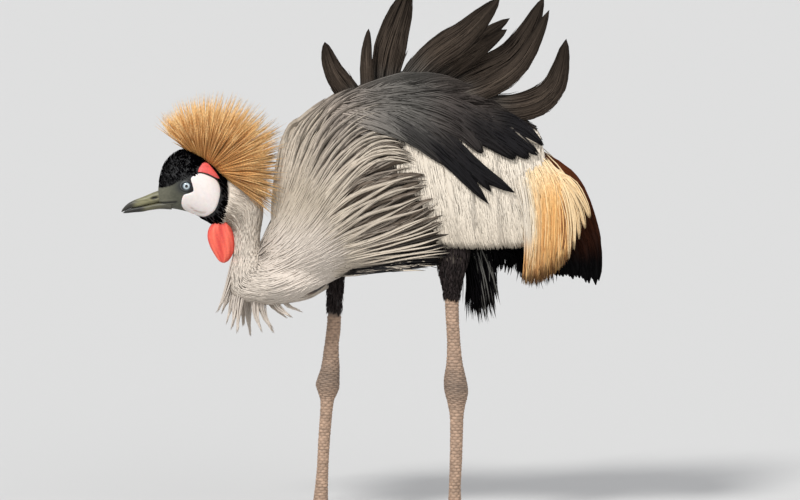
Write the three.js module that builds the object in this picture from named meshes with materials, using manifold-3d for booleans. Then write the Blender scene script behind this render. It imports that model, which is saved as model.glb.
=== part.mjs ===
// A grey crowned crane at life size, walking slowly with its head held low and its back plumes raised.
// Millimetres. The bird faces -X, its left side is -Y and +Z is up. The floor is z = 0.
import * as THREE from "three";
import Module from "manifold-3d";

const wasm = await Module();
wasm.setup();
const { Manifold, Mesh } = wasm;

// Clearance between neighbouring nodes.
const GAP = 0.32;
// How far the feather curtain hangs straight below the widest line of the body.
const DROOP = 0.3;
// Thickness of body locks, of broad flight feathers and of fine strands.
const LOCK_THICK = 1.3;
const BROAD_THICK = 1.5;
const STRAND_THICK = 1.4;
// How many locks stand in each row on one side of the body.
const NECK_ROW = 9;
const BREAST_ROW = 10;
const FLANK_ROW = 13;
// Sideways lean of the hackles, so that each lies over the next.
const HACKLE_LEAN = 11;
const BACK_LEAN = 7;
const SCAPULAR_LEAN = 6;
const COVERT_LEAN = 5;
const GOLD_LEAN = -22;
const FLIGHT_LEAN = -16;
const NECK_LEAN = 14;
const CREST_SPINES = 86;
const CREST_REACH = 112;
const CREST_SPINE_RADIUS = 1.05;
const COVERTS_PER_ROW = 6;
const GOLD_PLUMES = 9;
const FLIGHT_FEATHERS = 8;
const TAIL_FEATHERS = 8;
// The eyes.
const EYE = { x: -235, z: 463, y: 19.8, radius: 7.6, lid: 8.6, lidTube: 1.5 };
// The stance: where each leg meets the floor.
const NEAR_FOOT = { x: 126, y: -46 };
const FAR_FOOT = { x: -57, y: 46 };
const CLAW_LENGTH = 13;

const V = (x, y, z) => new THREE.Vector3(x, y, z);
const mix = (a, b, t) => a + (b - a) * t;
const clamp = (v, lo, hi) => Math.min(Math.max(v, lo), hi);
const ease = (t) => t * t * (3 - 2 * t);
const rad = (degrees) => (degrees * Math.PI) / 180;

function seeded(seed) {
  let state = seed;
  return () => {
    state = (state * 1664525 + 1013904223) % 4294967296;
    return state / 4294967296;
  };
}

// Smooth interpolation through rows of [key, value, value ...].
function track(rows) {
  return (key) => {
    let i = 0;
    while (i < rows.length - 2 && key > rows[i + 1][0]) i++;
    const a = rows[Math.max(i - 1, 0)];
    const b = rows[i];
    const c = rows[i + 1];
    const d = rows[Math.min(i + 2, rows.length - 1)];
    const h = c[0] - b[0];
    const t = clamp((key - b[0]) / h, 0, 1);
    return b.slice(1).map((v, j) => {
      const m0 = ((c[j + 1] - a[j + 1]) / (c[0] - a[0])) * h;
      const m1 = ((d[j + 1] - b[j + 1]) / (d[0] - b[0])) * h;
      const u = t - 1;
      const start = (1 + 2 * t) * u * u * v + t * u * u * m0;
      return start + t * t * (3 - 2 * t) * c[j + 1] + t * t * u * m1;
    });
  };
}

// A closed solid from corner points and triangles, turned so that its faces look out.
function solid(points, faces) {
  const corners = new Float32Array(points.flatMap((p) => [p.x, p.y, p.z]));
  const make = (list) =>
    new Manifold(
      new Mesh({ numProp: 3, vertProperties: corners, triVerts: new Uint32Array(list.flat()) }),
    );
  const first = make(faces);
  return first.volume() < 0 ? make(faces.map(([a, b, c]) => [a, c, b])) : first;
}

// A closed body through rings of equal size; an optional tip closes its far end in a point.
function loft(rings, tip) {
  const n = rings[0].length;
  const points = rings.flat();
  const faces = [];
  for (let i = 0; i < rings.length - 1; i++)
    for (let j = 0; j < n; j++) {
      const a = i * n + j;
      const b = i * n + ((j + 1) % n);
      const mirrored = n === 4 && j === 2;
      if (mirrored) faces.push([a, b, b + n], [a, b + n, a + n]);
      else faces.push([a, b, a + n], [b, b + n, a + n]);
    }
  for (let j = 1; j < n - 1; j++) faces.push([0, j + 1, j]);
  const end = (rings.length - 1) * n;
  if (tip) {
    points.push(tip);
    for (let j = 0; j < n; j++) faces.push([end + j, end + ((j + 1) % n), points.length - 1]);
  } else for (let j = 1; j < n - 1; j++) faces.push([end, end + j, end + j + 1]);
  return solid(points, faces);
}

// Rings as ribs [ax, az, bx, bz, half width, middle y]: an ellipse between two points of the side view.
function ribRings(ribs, sides, grow) {
  return ribs.map(([ax, az, bx, bz, half, middle = 0]) => {
    const ux = (bx - ax) / 2;
    const uz = (bz - az) / 2;
    const k = 1 + grow / Math.hypot(ux, uz);
    const ring = [];
    for (let j = 0; j < sides; j++) {
      const phi = ((j + 0.5) / sides) * 2 * Math.PI;
      const c = Math.cos(phi) * k;
      const y = middle + (half + grow) * Math.sin(phi);
      ring.push(V((ax + bx) / 2 + ux * c, y, (az + bz) / 2 + uz * c));
    }
    return ring;
  });
}

function ribbed(ribs, sides, steps = 1, grow = 0) {
  const keyed = track(ribs.map(([ax, az, bx, bz, half, middle = 0], i) => [i, ax, az, bx, bz, half, middle]));
  const fine = [];
  const last = ribs.length - 1;
  for (let i = 0; i <= last * steps; i++) fine.push(keyed(i / steps));
  return loft(ribRings(fine, sides, grow));
}

function box(x0, x1, y0, y1, z0, z1) {
  const ring = (z) => [V(x0, y0, z), V(x1, y0, z), V(x1, y1, z), V(x0, y1, z)];
  return loft([ring(z0), ring(z1)]);
}

// A prism across the body whose outline is a list of [x, z] points of the side view.
function prism(given, y0, y1) {
  const clockwise = THREE.ShapeUtils.isClockWise(given.map(([x, z]) => new THREE.Vector2(x, z)));
  const outline = clockwise ? [...given].reverse() : given;
  const flat = outline.map(([x, z]) => new THREE.Vector2(x, z));
  const caps = THREE.ShapeUtils.triangulateShape(flat, []);
  const n = outline.length;
  const points = [y0, y1].flatMap((y) => outline.map(([x, z]) => V(x, y, z)));
  const faces = [];
  for (const [a, b, c] of caps) faces.push([a, b, c], [a + n, c + n, b + n]);
  for (let j = 0; j < n; j++) {
    const k = (j + 1) % n;
    faces.push([k, j, j + n], [k, j + n, k + n]);
  }
  return solid(points, faces);
}

function ball(centre, radii, columns, rows) {
  const rings = [];
  for (let i = 1; i < rows; i++) {
    const polar = (i / rows) * Math.PI;
    const ring = [];
    for (let j = 0; j < columns; j++) {
      const phi = (j / columns) * 2 * Math.PI;
      const s = Math.sin(polar);
      const out = V(s * Math.cos(phi), s * Math.sin(phi), Math.cos(polar));
      ring.push(out.multiply(radii).add(centre));
    }
    rings.push(ring);
  }
  return loft(rings);
}

const join = (bodies) => Manifold.union(bodies);

function largest(body) {
  const pieces = body.decompose();
  return pieces.reduce((best, piece) => (piece.volume() > best.volume() ? piece : best));
}

// Vane outlines: stations along the length and the share of the full width there.
const LOCK = { at: [0, 0.28, 0.68], width: [0.6, 1, 0.74] };
const BROAD = { at: [0, 0.3, 0.68, 0.92], width: [0.6, 1, 1, 0.6] };
const BLADE = { at: [0, 0.3, 0.62, 0.86], width: [0.7, 1, 0.86, 0.44] };
const PLUME = { at: [0, 0.25, 0.55, 0.84], width: [0.3, 0.9, 1, 0.58] };
const STRAND = { at: [0, 0.3, 0.68], width: [1, 0.9, 0.55] };

// A thin shell between two grids of points, (columns + 1) points in each of (rows + 1) rows.
function shell(outer, inner, columns, rows) {
  const faces = [];
  const n = columns + 1;
  const under = outer.length;
  for (let j = 0; j < rows; j++)
    for (let i = 0; i < columns; i++) {
      const a = j * n + i;
      faces.push([a, a + 1, a + n + 1], [a, a + n + 1, a + n]);
      faces.push([a + under, a + under + n + 1, a + under + 1]);
      faces.push([a + under, a + under + n, a + under + n + 1]);
    }
  const rim = [];
  for (let i = 0; i < columns; i++) rim.push(i);
  for (let j = 0; j < rows; j++) rim.push(j * n + columns);
  for (let i = columns; i > 0; i--) rim.push(rows * n + i);
  for (let j = rows; j > 0; j--) rim.push(j * n);
  rim.forEach((a, k) => {
    const b = rim[(k + 1) % rim.length];
    faces.push([b, a, a + under], [b, a + under, b + under]);
  });
  return solid([...outer, ...inner], faces);
}

// A flat tapering vane: path holds a centre and a face normal for each station and for the tip.
function vane({ path, form, width, thick }, grow = 0) {
  const rings = [];
  let along;
  for (let i = 0; i < form.at.length; i++) {
    const { c, n } = path[i];
    along = V().subVectors(path[i + 1].c, path[Math.max(i - 1, 0)].c).normalize();
    const across = V().crossVectors(along, n).normalize();
    const up = V().crossVectors(across, along).normalize();
    const w = (width * form.width[i]) / 2 + grow;
    const h = (thick * mix(1, 0.62, form.at[i])) / 2 + grow;
    const corner = (a, b) => c.clone().addScaledVector(across, a * w).addScaledVector(up, b * h);
    rings.push([corner(1, 1), corner(-1, 1), corner(-1, -1), corner(1, -1)]);
  }
  return loft(rings, path.at(-1).c.clone().addScaledVector(along, grow * 3));
}

const vanes = (specs, grow = 0) => specs.map((spec) => vane(spec, grow));

// Plumage envelope of the body by X: middle height, half height, half width.
const plumage = track([
  [-128, 404, 70, 16],
  [-121, 404, 94, 29],
  [-103, 424, 113, 43],
  [-70, 441, 125, 54],
  [-42, 454, 125, 62],
  [-22, 467, 119, 66],
  [32, 479, 120, 70],
  [92.5, 478, 118, 70],
  [153, 472, 108, 64],
  [207, 463, 90, 50],
  [248, 455, 80, 38],
  [290, 440, 85, 30],
  [330, 430, 90, 24],
]);

// A point of the envelope at a signed angle from the top of the back; negative angles are the left side.
function around(x, angle) {
  const [middle, high, wide] = plumage(x);
  const r = Math.cos(angle);
  const round = Math.abs(Math.sin(angle));
  const curtain = r < 0 ? mix(round, 1 - DROOP * r * r, ease(clamp((x + 60) / 140, 0, 1))) : round;
  return V(x, Math.sign(angle) * wide * curtain, middle + high * r);
}

// A lifted point and its outward normal, from a place in the side view.
function over(x, z, side, lift) {
  const [middle, high] = plumage(x);
  const r = clamp((z - middle) / high, -0.985, 0.985);
  const angle = side * Math.acos(r);
  const c = around(x, angle);
  const dx = V().subVectors(around(x + 1, angle), around(x - 1, angle));
  const da = V().subVectors(around(x, angle + 0.02), around(x, angle - 0.02));
  const n = V().crossVectors(dx, da).normalize();
  c.z += z - (middle + high * r);
  return { c: c.addScaledVector(n, lift), n };
}

// Turns a face normal sideways about the run of its vane.
function tip(normal, run, degrees) {
  const across = V().crossVectors(run, normal).normalize();
  return normal.addScaledVector(across, Math.tan(rad(degrees))).normalize();
}

// The path of a vane laid on the plumage through points [x, z]. It rises from its sunk root to its tip, and
// leans sideways so that each vane of a row lies on the next like a tile.
function laid(points, form, side, lifts, lean = 0, sunk = 0.22) {
  const curve = new THREE.CatmullRomCurve3(points.map(([x, z]) => V(x, 0, z)));
  const rise = track(lifts);
  return [...form.at, 1].map((t) => {
    const p = curve.getPoint(t);
    const run = curve.getTangent(t);
    const station = over(p.x, p.z, side, rise(t)[0]);
    tip(station.n, run, lean * mix(1.3, 0.8, t));
    if (t === 0) {
      const [middle] = plumage(p.x);
      station.c.lerp(V(p.x + 12, 0, middle), sunk);
    }
    return station;
  });
}

// How a row of body feathers rises from its roots over the roots of the row behind it.
const SHINGLE = [
  [0, 0],
  [0.28, 3],
  [0.68, 7.6],
  [1, 12],
];

// The streamlines of the long hackles: they spring from the low bend of the neck and fan over the body.
const fanRoots = track([
  [0, -123, 371],
  [0.5, -121, 344],
  [1, -101, 322],
]);
const fanTips = track([
  [0, -40, 583],
  [0.125, -4, 588],
  [0.25, 32, 566],
  [0.375, 54, 531],
  [0.5, 78, 490],
  [0.625, 96, 449],
  [0.75, 112, 412],
  [0.875, 117, 376],
  [1, 92, 354],
]);
function stream(f, s) {
  const [rx, rz] = fanRoots(f);
  const [tx, tz] = fanTips(f);
  const length = Math.hypot(tx - rx, tz - rz);
  const leave = rad(mix(88, 12, f ** 0.9));
  const arrive = rad(12 + 16 * Math.sin(Math.PI * f));
  const k = length * mix(0.52, 0.33, f);
  const curve = new THREE.CubicBezierCurve(
    new THREE.Vector2(rx, rz),
    new THREE.Vector2(rx + k * Math.cos(leave), rz + k * Math.sin(leave)),
    new THREE.Vector2(tx - 0.32 * length * Math.cos(arrive), tz - 0.32 * length * Math.sin(arrive)),
    new THREE.Vector2(tx, tz),
  );
  return curve.getPoint(s);
}

// One row of hackles on one side.
function hackleRow({ count, from, to, width, side, seed }) {
  const random = seeded(seed);
  const row = [];
  for (let i = 0; i < count; i++) {
    const f = mix(0.01, 0.99, (i + 0.5 + 0.3 * (random() - 0.5)) / count);
    const end = Math.min(to + 0.05 * (random() - 0.5), 1);
    const points = [0, 0.34, 0.67, 1].map((t) => {
      const p = stream(f, mix(from, end, t));
      return [p.x, p.y];
    });
    const path = laid(points, LOCK, side, SHINGLE, side * HACKLE_LEAN);
    row.push({ path, form: LOCK, width: width * mix(0.9, 1.1, random()), thick: LOCK_THICK });
  }
  return row;
}

// The body core by X: middle height, half height, half width.
const CORE = [
  [-115, 421, 30, 24],
  [-103, 431, 89, 44],
  [-69.5, 445.5, 107, 53],
  [-22, 463, 112, 63],
  [32, 475, 114, 67],
  [92.5, 474, 113, 67],
  [153, 468.5, 101, 59],
  [207, 463, 76, 44],
  [248, 455, 43, 28],
  [268, 451, 12, 9],
];

function bodyCore(grow) {
  const at = track(CORE);
  const rings = [];
  const stops = 15;
  for (let i = 0; i <= stops; i++) {
    const x = mix(CORE[0][0], CORE.at(-1)[0], i / stops);
    const [middle, high, wide] = at(x);
    const ring = [];
    for (let j = 0; j < 18; j++) {
      const phi = ((j + 0.5) / 18) * 2 * Math.PI;
      ring.push(V(x, (wide + grow) * Math.sin(phi), middle + (high + grow) * Math.cos(phi)));
    }
    rings.push(ring);
  }
  return loft(rings);
}

// Slate plumes of the back: rows from the shoulder to the rump, flowing back and a little up.
function backPlumes(side) {
  const random = seeded(31);
  const rows = [];
  for (let row = 0; row < 3; row++) {
    const plumes = [];
    for (let k = 0; k < 3; k++) {
      const x = mix(-46, 6, k / 2) + 58 * row;
      const [middle, high] = plumage(x);
      const z = middle + high * mix(0.93, 0.74, k / 2);
      const rise = mix(14, 2, k / 2);
      const reach = 112 + 12 * random();
      const points = [
        [x, z],
        [x + reach * 0.5, z + rise * 0.7],
        [x + reach, z + rise],
      ];
      const path = laid(points, LOCK, side, SHINGLE, side * BACK_LEAN);
      plumes.push({ path, form: LOCK, width: 27, thick: LOCK_THICK });
    }
    rows.push(plumes);
  }
  return rows;
}

// Dark scapular blades that fall over the white wing: root, middle and tip of each.
const SCAPULARS = [
  [-6, 546, 66, 522, 118, 482],
  [12, 554, 96, 512, 146, 458],
  [32, 562, 116, 510, 171, 439],
  [58, 566, 134, 519, 205, 456],
  [84, 566, 156, 534, 210, 490],
  [108, 568, 182, 543, 237, 494],
];
const SCAPULAR_RISE = [
  [0, 0],
  [0.3, 9],
  [0.62, 14.5],
  [1, 16.5],
];
function scapulars(side) {
  return SCAPULARS.map(([x0, z0, x1, z1, x2, z2]) => {
    const points = [
      [x0, z0],
      [x1, z1],
      [x2, z2],
    ];
    const path = laid(points, BLADE, side, SCAPULAR_RISE, side * -SCAPULAR_LEAN);
    return { path, form: BLADE, width: 34, thick: BROAD_THICK };
  });
}

// Raised blades of the back: [root x, z, middle x, z, tip x, z, width, y at the root, y at the tip].
const RAISED = [
  [-12, 572, -34, 618, -50, 655, 34, 6, 20],
  [9, 590, 7, 630, 9, 668, 23, -5, -12],
  [40, 588, 44, 657, 68, 732, 40, 5, 10],
  [82, 588, 131, 660, 187, 716, 38, -6, -20],
  [112, 584, 170, 628, 206, 700, 30, 6, 26],
  [128, 580, 207, 642, 244, 714, 33, -5, -8],
  [150, 572, 236, 588, 275, 666, 30, -7, -26],
  [144, 574, 222, 600, 262, 676, 26, 8, 28],
  [62, 590, 92, 650, 128, 704, 34, 8, 28],
];
// How deep the root of a raised plume reaches into the back.
const PLUME_ROOT = 24;
function raisedPlumes() {
  return RAISED.map(([x0, z0, x1, z1, x2, z2, width, y0, y1]) => {
    const curve = new THREE.CatmullRomCurve3([
      V(x0, y0, z0 - PLUME_ROOT),
      V(x0, y0, z0),
      V(x1, (y0 + y1) / 2, z1),
      V(x2, y1, z2),
    ]);
    const n = V(0.12, Math.sign(y0), 0.1).normalize();
    const path = [...BLADE.at, 1].map((t) => ({ c: curve.getPoint(t), n }));
    return { path, form: BLADE, width, thick: BROAD_THICK };
  });
}

// Loose dark feathers of the vent and behind the thighs: [root x, z, tip x, z, y, width].
const VENT = [
  [146, 392, 138, 281, -34, 17],
  [156, 388, 158, 299, -26, 18],
  [166, 392, 178, 322, -18, 18],
  [192, 404, 219, 330, -6, 24],
  [146, 390, 142, 292, 30, 17],
  [158, 388, 164, 305, 22, 18],
  [170, 392, 186, 326, 12, 18],
];
function ventFeathers() {
  return VENT.map(([x0, z0, x1, z1, y, width]) => {
    const middle = V(mix(x0, x1, 0.35), y, mix(z0, z1, 0.5));
    const curve = new THREE.CatmullRomCurve3([V(x0, y * 0.8, z0), middle, V(x1, y * 1.05, z1)]);
    const n = V(0.15, Math.sign(y), 0).normalize();
    const path = [...LOCK.at, 1].map((t) => ({ c: curve.getPoint(t), n }));
    return { path, form: LOCK, width, thick: LOCK_THICK };
  });
}

const FLANK = { count: FLANK_ROW, from: 0.48, to: 1, width: 21, seed: 7 };
const BREAST = { count: BREAST_ROW, from: 0.24, to: 0.74, width: 15, seed: 19 };
function torsoBody(grow) {
  const parts = [bodyCore(grow), ...vanes(raisedPlumes(), grow), ...vanes(ventFeathers(), grow)];
  for (const side of [-1, 1]) {
    parts.push(...vanes(hackleRow({ ...FLANK, side }), grow), ...vanes(hackleRow({ ...BREAST, side }), grow));
    parts.push(...backPlumes(side).flatMap((row) => vanes(row, grow)), ...vanes(scapulars(side), grow));
  }
  return join(parts);
}

const torso = largest(torsoBody(0));
const torsoRoom = torsoBody(GAP);

// The neck as ribs from the nape down to the low bend and along the breast.
const NECK = [
  [-166, 466, -190, 416, 18],
  [-143, 448, -172, 424, 18],
  [-134, 424, -169.5, 415, 18],
  [-137, 394, -173.5, 394, 18],
  [-136, 374, -173.5, 364, 20],
  [-135.5, 369, -180, 342, 25],
  [-134, 366, -174, 312, 31],
  [-132, 366, -140, 302, 36],
  [-122, 364, -104, 302, 40],
  [-94, 356, -68, 309, 38],
  [-66, 350, -42, 323, 28],
];
const NECK_SPLIT = 388;

function neckCore(grow) {
  return ribbed(NECK, 16, 1, grow);
}

// Locks that hang free from the bend of the neck: [root x, z, tip x, z, y, width].
const HANGING = [
  [-170, 345, -196, 289, -14, 8],
  [-166, 332, -183, 272, -8, 9],
  [-158, 322, -168, 261, -16, 9],
  [-150, 318, -150, 254, 4, 8],
  [-138, 318, -117, 261, -12, 9],
  [-168, 340, -190, 284, 10, 8],
  [-156, 322, -160, 266, 14, 9],
  [-130, 318, -100, 279, 8, 9],
];

function hangingLocks() {
  return HANGING.map(([x0, z0, x1, z1, y, width]) => {
    const middle = V(mix(x0, x1, 0.4) - 3, y, mix(z0, z1, 0.5));
    const curve = new THREE.CatmullRomCurve3([V(x0, y * 0.7, z0), middle, V(x1, y * 1.1, z1)]);
    const n = V(0.1, y < 0 ? -1 : 1, 0).normalize();
    const path = [...STRAND.at, 1].map((t) => ({ c: curve.getPoint(t), n }));
    return { path, form: STRAND, width, thick: STRAND_THICK };
  });
}

// First row of hackles: it grows from the neck and lies over the rows of the body.
function neckHackles(side) {
  const random = seeded(43);
  const row = [];
  for (let i = 0; i < NECK_ROW; i++) {
    const f = mix(0.02, 0.98, (i + 0.5 + 0.3 * (random() - 0.5)) / NECK_ROW);
    const [rx, rz] = fanRoots(f);
    const reach = 0.45 + 0.08 * random();
    const path = [...LOCK.at, 1].map((t) => {
      const p = stream(f, reach * t);
      const station = over(p.x, p.y, side, mix(8, 12.5, t));
      const free = ease(clamp(t / 0.3, 0, 1));
      const root = V(rx - 4, side * 16, rz);
      const q = stream(f, reach * t + 0.02);
      const n = V(0, side, 0).lerp(station.n, free).normalize();
      return { c: root.lerp(station.c, free), n: tip(n, V(q.x - p.x, 0, q.y - p.y), side * NECK_LEAN) };
    });
    row.push({ path, form: LOCK, width: mix(9, 12, random()), thick: LOCK_THICK });
  }
  return row;
}

const above = box(-400, 0, -100, 100, NECK_SPLIT + GAP / 2, 700);
const below = box(-400, 0, -100, 100, 100, NECK_SPLIT - GAP / 2);
const neckLowerBody = (grow) =>
  join([
    neckCore(grow).intersect(below),
    ...vanes(hangingLocks(), grow),
    ...vanes(neckHackles(-1), grow),
    ...vanes(neckHackles(1), grow),
  ]);
const neckLower = largest(neckLowerBody(0).subtract(torsoRoom));
const neckLowerRoom = neckLowerBody(GAP);

// The head as ribs across its length.
const HEAD = [
  [-274, 461, -274, 438, 8],
  [-268, 484, -268, 433, 14],
  [-260, 497, -260, 431, 18],
  [-248, 506, -248, 429, 21.5],
  [-232, 510, -232, 425, 25],
  [-212, 503, -212, 416, 26],
  [-194, 489, -194, 407, 23],
  [-180, 469, -180, 411, 16],
  [-172, 452, -172, 428, 8],
];
const headForm = (grow) => ribbed(HEAD, 18, 1, grow);

const socket = (side, radius) => ball(V(EYE.x, side * EYE.y, EYE.z), V(radius, radius, radius), 14, 7);

// A ring of skin round the eye.
function eyelid(side, grow = 0) {
  const turns = 14;
  const sides = 5;
  const points = [];
  const faces = [];
  for (let i = 0; i < turns; i++) {
    const phi = (i / turns) * 2 * Math.PI;
    for (let j = 0; j < sides; j++) {
      const psi = (j / sides) * 2 * Math.PI;
      const tube = EYE.lidTube + grow;
      const r = EYE.lid + tube * Math.cos(psi) - 0.6;
      const y = side * (EYE.y + 4.4 + tube * Math.sin(psi));
      points.push(V(EYE.x + r * Math.cos(phi) * 1.08, y, EYE.z + r * Math.sin(phi) * 0.9));
    }
  }
  for (let i = 0; i < turns; i++)
    for (let j = 0; j < sides; j++) {
      const a = i * sides + j;
      const b = i * sides + ((j + 1) % sides);
      const c = ((i + 1) % turns) * sides + j;
      const d = ((i + 1) % turns) * sides + ((j + 1) % sides);
      faces.push([a, b, c], [b, d, c]);
    }
  return solid(points, faces);
}

const CAP_OUTLINE = [
  [-290, 459],
  [-272, 459],
  [-258, 461],
  [-245, 468],
  [-231, 474],
  [-226, 481],
  [-229, 496],
  [-231, 530],
  [-290, 530],
];
const CHEEK_OUTLINE = [
  [-229, 475],
  [-227.5, 466],
  [-226, 457],
  [-232, 453.5],
  [-240, 450],
  [-243, 439],
  [-240, 430],
  [-230, 424],
  [-216, 420],
  [-207, 421],
  [-196, 430],
  [-190, 446],
  [-189, 460],
  [-194, 471],
  [-206, 478],
  [-218, 481],
];
const RED_OUTLINE = [
  [-220, 482],
  [-217, 490],
  [-210, 495.5],
  [-200, 486],
  [-191, 473.5],
  [-193.4, 472.6],
  [-206, 479],
  [-218, 482],
];

// A raised plate of skin that follows the head: it stands this far proud of it.
const PLATE_RISE = 1.9;
function plate(outline, side) {
  const span = side < 0 ? [-60, -4] : [4, 60];
  const rooms = join([headForm(GAP), eyelid(side, GAP)]);
  return headForm(PLATE_RISE).intersect(prism(outline, ...span)).subtract(rooms);
}

const crown = prism(CAP_OUTLINE, -60, 60);
const grownCap = CAP_OUTLINE.map(([x, z]) => [x + (x > -235 ? GAP : 0), z - (x <= -226 ? GAP : 0)]);
const crownRoom = prism(grownCap, -60, 60);

const BILL_UPPER = [
  [-261, 454.5, -261, 441.4, 9],
  [-272, 454, -272, 440.4, 8.3],
  [-283.3, 451.6, -283.3, 437.2, 7.2],
  [-293.6, 446.6, -293.6, 434.8, 6],
  [-307, 441.4, -307, 431.8, 4.4],
  [-315, 437, -315, 429.4, 3.1],
  [-321, 431.6, -321, 426.6, 1.8],
  [-323.8, 426.6, -323.8, 425.4, 0.6],
];
const BILL_LOWER = [
  [-258, 439.4, -258, 431, 7.6],
  [-272, 438.2, -272, 430.2, 7],
  [-286.4, 434.8, -286.4, 428.2, 5.6],
  [-295, 432.2, -295, 426.2, 4.6],
  [-307, 429.2, -307, 425.2, 3.4],
  [-315, 427.2, -315, 424.2, 2.3],
  [-321.5, 424.8, -321.5, 423.6, 0.9],
];
const billUpperForm = (grow) => ribbed(BILL_UPPER, 12, 1, grow);
const billLowerForm = (grow) => ribbed(BILL_LOWER, 10, 1, grow);

// A nostril slot that passes right through the upper bill.
function nostril() {
  const rings = [-14, 14].map((y) => {
    const ring = [];
    for (let j = 0; j < 10; j++) {
      const phi = (j / 10) * 2 * Math.PI;
      ring.push(V(-280 + 4.4 * Math.cos(phi), y, 444.6 + 1.3 * Math.sin(phi) - 0.9 * Math.cos(phi)));
    }
    return ring;
  });
  return loft(rings);
}

// The corner of the mouth runs back as a shallow cut on each side of the face.
function gape(side) {
  const y0 = side < 0 ? -40 : 12;
  return box(-264, -249, y0, y0 + 28, 438.6, 439.8);
}

const face = join([headForm(0).subtract(crownRoom), eyelid(-1), eyelid(1)]);
const head = largest(
  face
    .subtract(join([socket(-1, EYE.radius + GAP), socket(1, EYE.radius + GAP)]))
    .subtract(join([billUpperForm(GAP), billLowerForm(GAP), gape(-1), gape(1)]))
    .subtract(crownRoom),
);
const headRoom = headForm(GAP);
const cap = largest(headForm(1.6).intersect(crown).subtract(billUpperForm(GAP)));
const capRoom = headForm(1.6 + GAP).intersect(crownRoom);
const billUpper = largest(billUpperForm(0).subtract(nostril()));
const billLower = largest(billLowerForm(0));

const neckRooms = join([headRoom, neckLowerRoom, torsoRoom]);
const neckUpper = largest(neckCore(0).intersect(above).subtract(neckRooms));
const neckUpperRoom = neckCore(GAP).intersect(above);

// The crest: a pad on the back of the crown with stiff bristles that fan from it.
const CREST_PAD = [
  [-229, 500, -226, 490, 9],
  [-222, 509, -210, 480, 15],
  [-206, 506, -196, 474, 17],
  [-190, 494, -184, 466, 14],
  [-178, 474, -178, 462, 6],
];
// The angle between neighbours that spreads points evenly over a disc.
const GOLDEN_TURN = 2.39996;
function crestNode() {
  const random = seeded(5);
  const pad = ribbed(CREST_PAD, 14);
  const spines = [];
  for (let i = 0; i < CREST_SPINES; i++) {
    const r = Math.sqrt((i + 0.5) / CREST_SPINES);
    const turn = i * GOLDEN_TURN;
    const fore = r * Math.cos(turn);
    const wide = r * Math.sin(turn);
    const lean = rad(52 - 86 * fore);
    const spread = rad(42 * wide);
    const out = V(Math.cos(lean) * Math.cos(spread), Math.sin(spread), Math.sin(lean) * Math.cos(spread));
    const base = V(-205 + 19 * fore, 9 * wide, 487 - 13 * fore);
    const round = 1 - 0.2 * Math.abs(fore - 0.25) ** 1.4;
    const reach = CREST_REACH * round * mix(0.9, 1.04, random());
    const side = V().crossVectors(out, V(0.31, 0.52, -0.79)).normalize();
    const up = V().crossVectors(side, out);
    const sag = 6 * Math.max(0, fore);
    const rings = [0, 0.62].map((t) => {
      const c = base.clone().addScaledVector(out, reach * t);
      c.z -= sag * t * t;
      const radius = CREST_SPINE_RADIUS * mix(1, 0.72, t);
      return [0, 1, 2].map((k) => {
        const a = (k / 3) * 2 * Math.PI;
        const rim = c.clone().addScaledVector(side, radius * Math.cos(a));
        return rim.addScaledVector(up, radius * Math.sin(a));
      });
    });
    const tip = base.clone().addScaledVector(out, reach);
    tip.z -= sag;
    spines.push(loft(rings, tip));
  }
  const rooms = join([headForm(GAP), capRoom, neckUpperRoom, neckLowerRoom]);
  return largest(join([pad, ...spines]).subtract(rooms).subtract(torsoRoom));
}
const crest = crestNode();

// The wattle: two hanging lobes of folded skin under the throat.
function wattleLobe(side) {
  const rows = track([
    [0, -190, 411, 11, 4],
    [1, -190.5, 402, 16, 6],
    [2, -189.5, 391, 18, 7],
    [3, -187.5, 379, 16.5, 6.5],
    [4, -186, 368, 12, 5],
    [5, -186, 359.5, 6, 2.6],
  ]);
  const rings = [];
  for (let i = 0; i <= 6; i++) {
    const [x, z, long, thick] = rows((i * 5) / 6);
    const ring = [];
    for (let j = 0; j < 14; j++) {
      const phi = (j / 14) * 2 * Math.PI;
      const fold = 1 + 0.2 * Math.sin(5 * phi + i * 0.5 + side);
      ring.push(V(x + long * Math.cos(phi), side * 6.4 + thick * fold * Math.sin(phi), z));
    }
    rings.push(ring);
  }
  return loft(rings, V(-186, side * 6, 357));
}
const wattle = largest(
  join([wattleLobe(-1), wattleLobe(1)]).subtract(headRoom).subtract(neckUpperRoom).subtract(neckLowerRoom),
);

// The folded wing: a shell over the flank that carries coverts, gold plumes and flight feathers.
const wingFront = track([
  [376, 120],
  [397, 106],
  [433, 92],
  [486, 64],
  [522, 40],
  [545, 26],
]);
// How far the wing shell stands off the plumage envelope.
const WING_FACE = 3;
const WING_INNER = -9;
function wingShell(side, grow) {
  const columns = 7;
  const rows = 4;
  const grid = (lift) => {
    const points = [];
    for (let j = 0; j <= rows; j++)
      for (let i = 0; i <= columns; i++) {
        const z = mix(381, 528, j / rows);
        const [front] = wingFront(z);
        const x = mix(front, mix(238, 243, j / rows), i / columns);
        points.push(over(x, z, side, lift).c);
      }
    return points;
  };
  return shell(grid(WING_FACE + grow), grid(WING_INNER - grow), columns, rows);
}

// White coverts in overlapping rows that hang down and back over the shell.
const COVERT_ROWS = [
  { z: 446, drop: 66 },
  { z: 508, drop: 70 },
];
const COVERT_RISE = [
  [0, -1],
  [0.3, 5.3],
  [1, 7.2],
];
function coverts(side) {
  const random = seeded(57);
  return COVERT_ROWS.map(({ z, drop }) => {
    const row = [];
    for (let i = 0; i < COVERTS_PER_ROW; i++) {
      const [front] = wingFront(z);
      const x = mix(front + 8, 220, i / (COVERTS_PER_ROW - 1));
      const points = [
        [x, z],
        [x + 5, z - drop * 0.5],
        [x + 8, z - drop + 4 * random()],
      ];
      const path = laid(points, BROAD, side, COVERT_RISE, side * COVERT_LEAN, 0.02);
      row.push({ path, form: BROAD, width: 36, thick: BROAD_THICK });
    }
    return row;
  });
}

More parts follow.
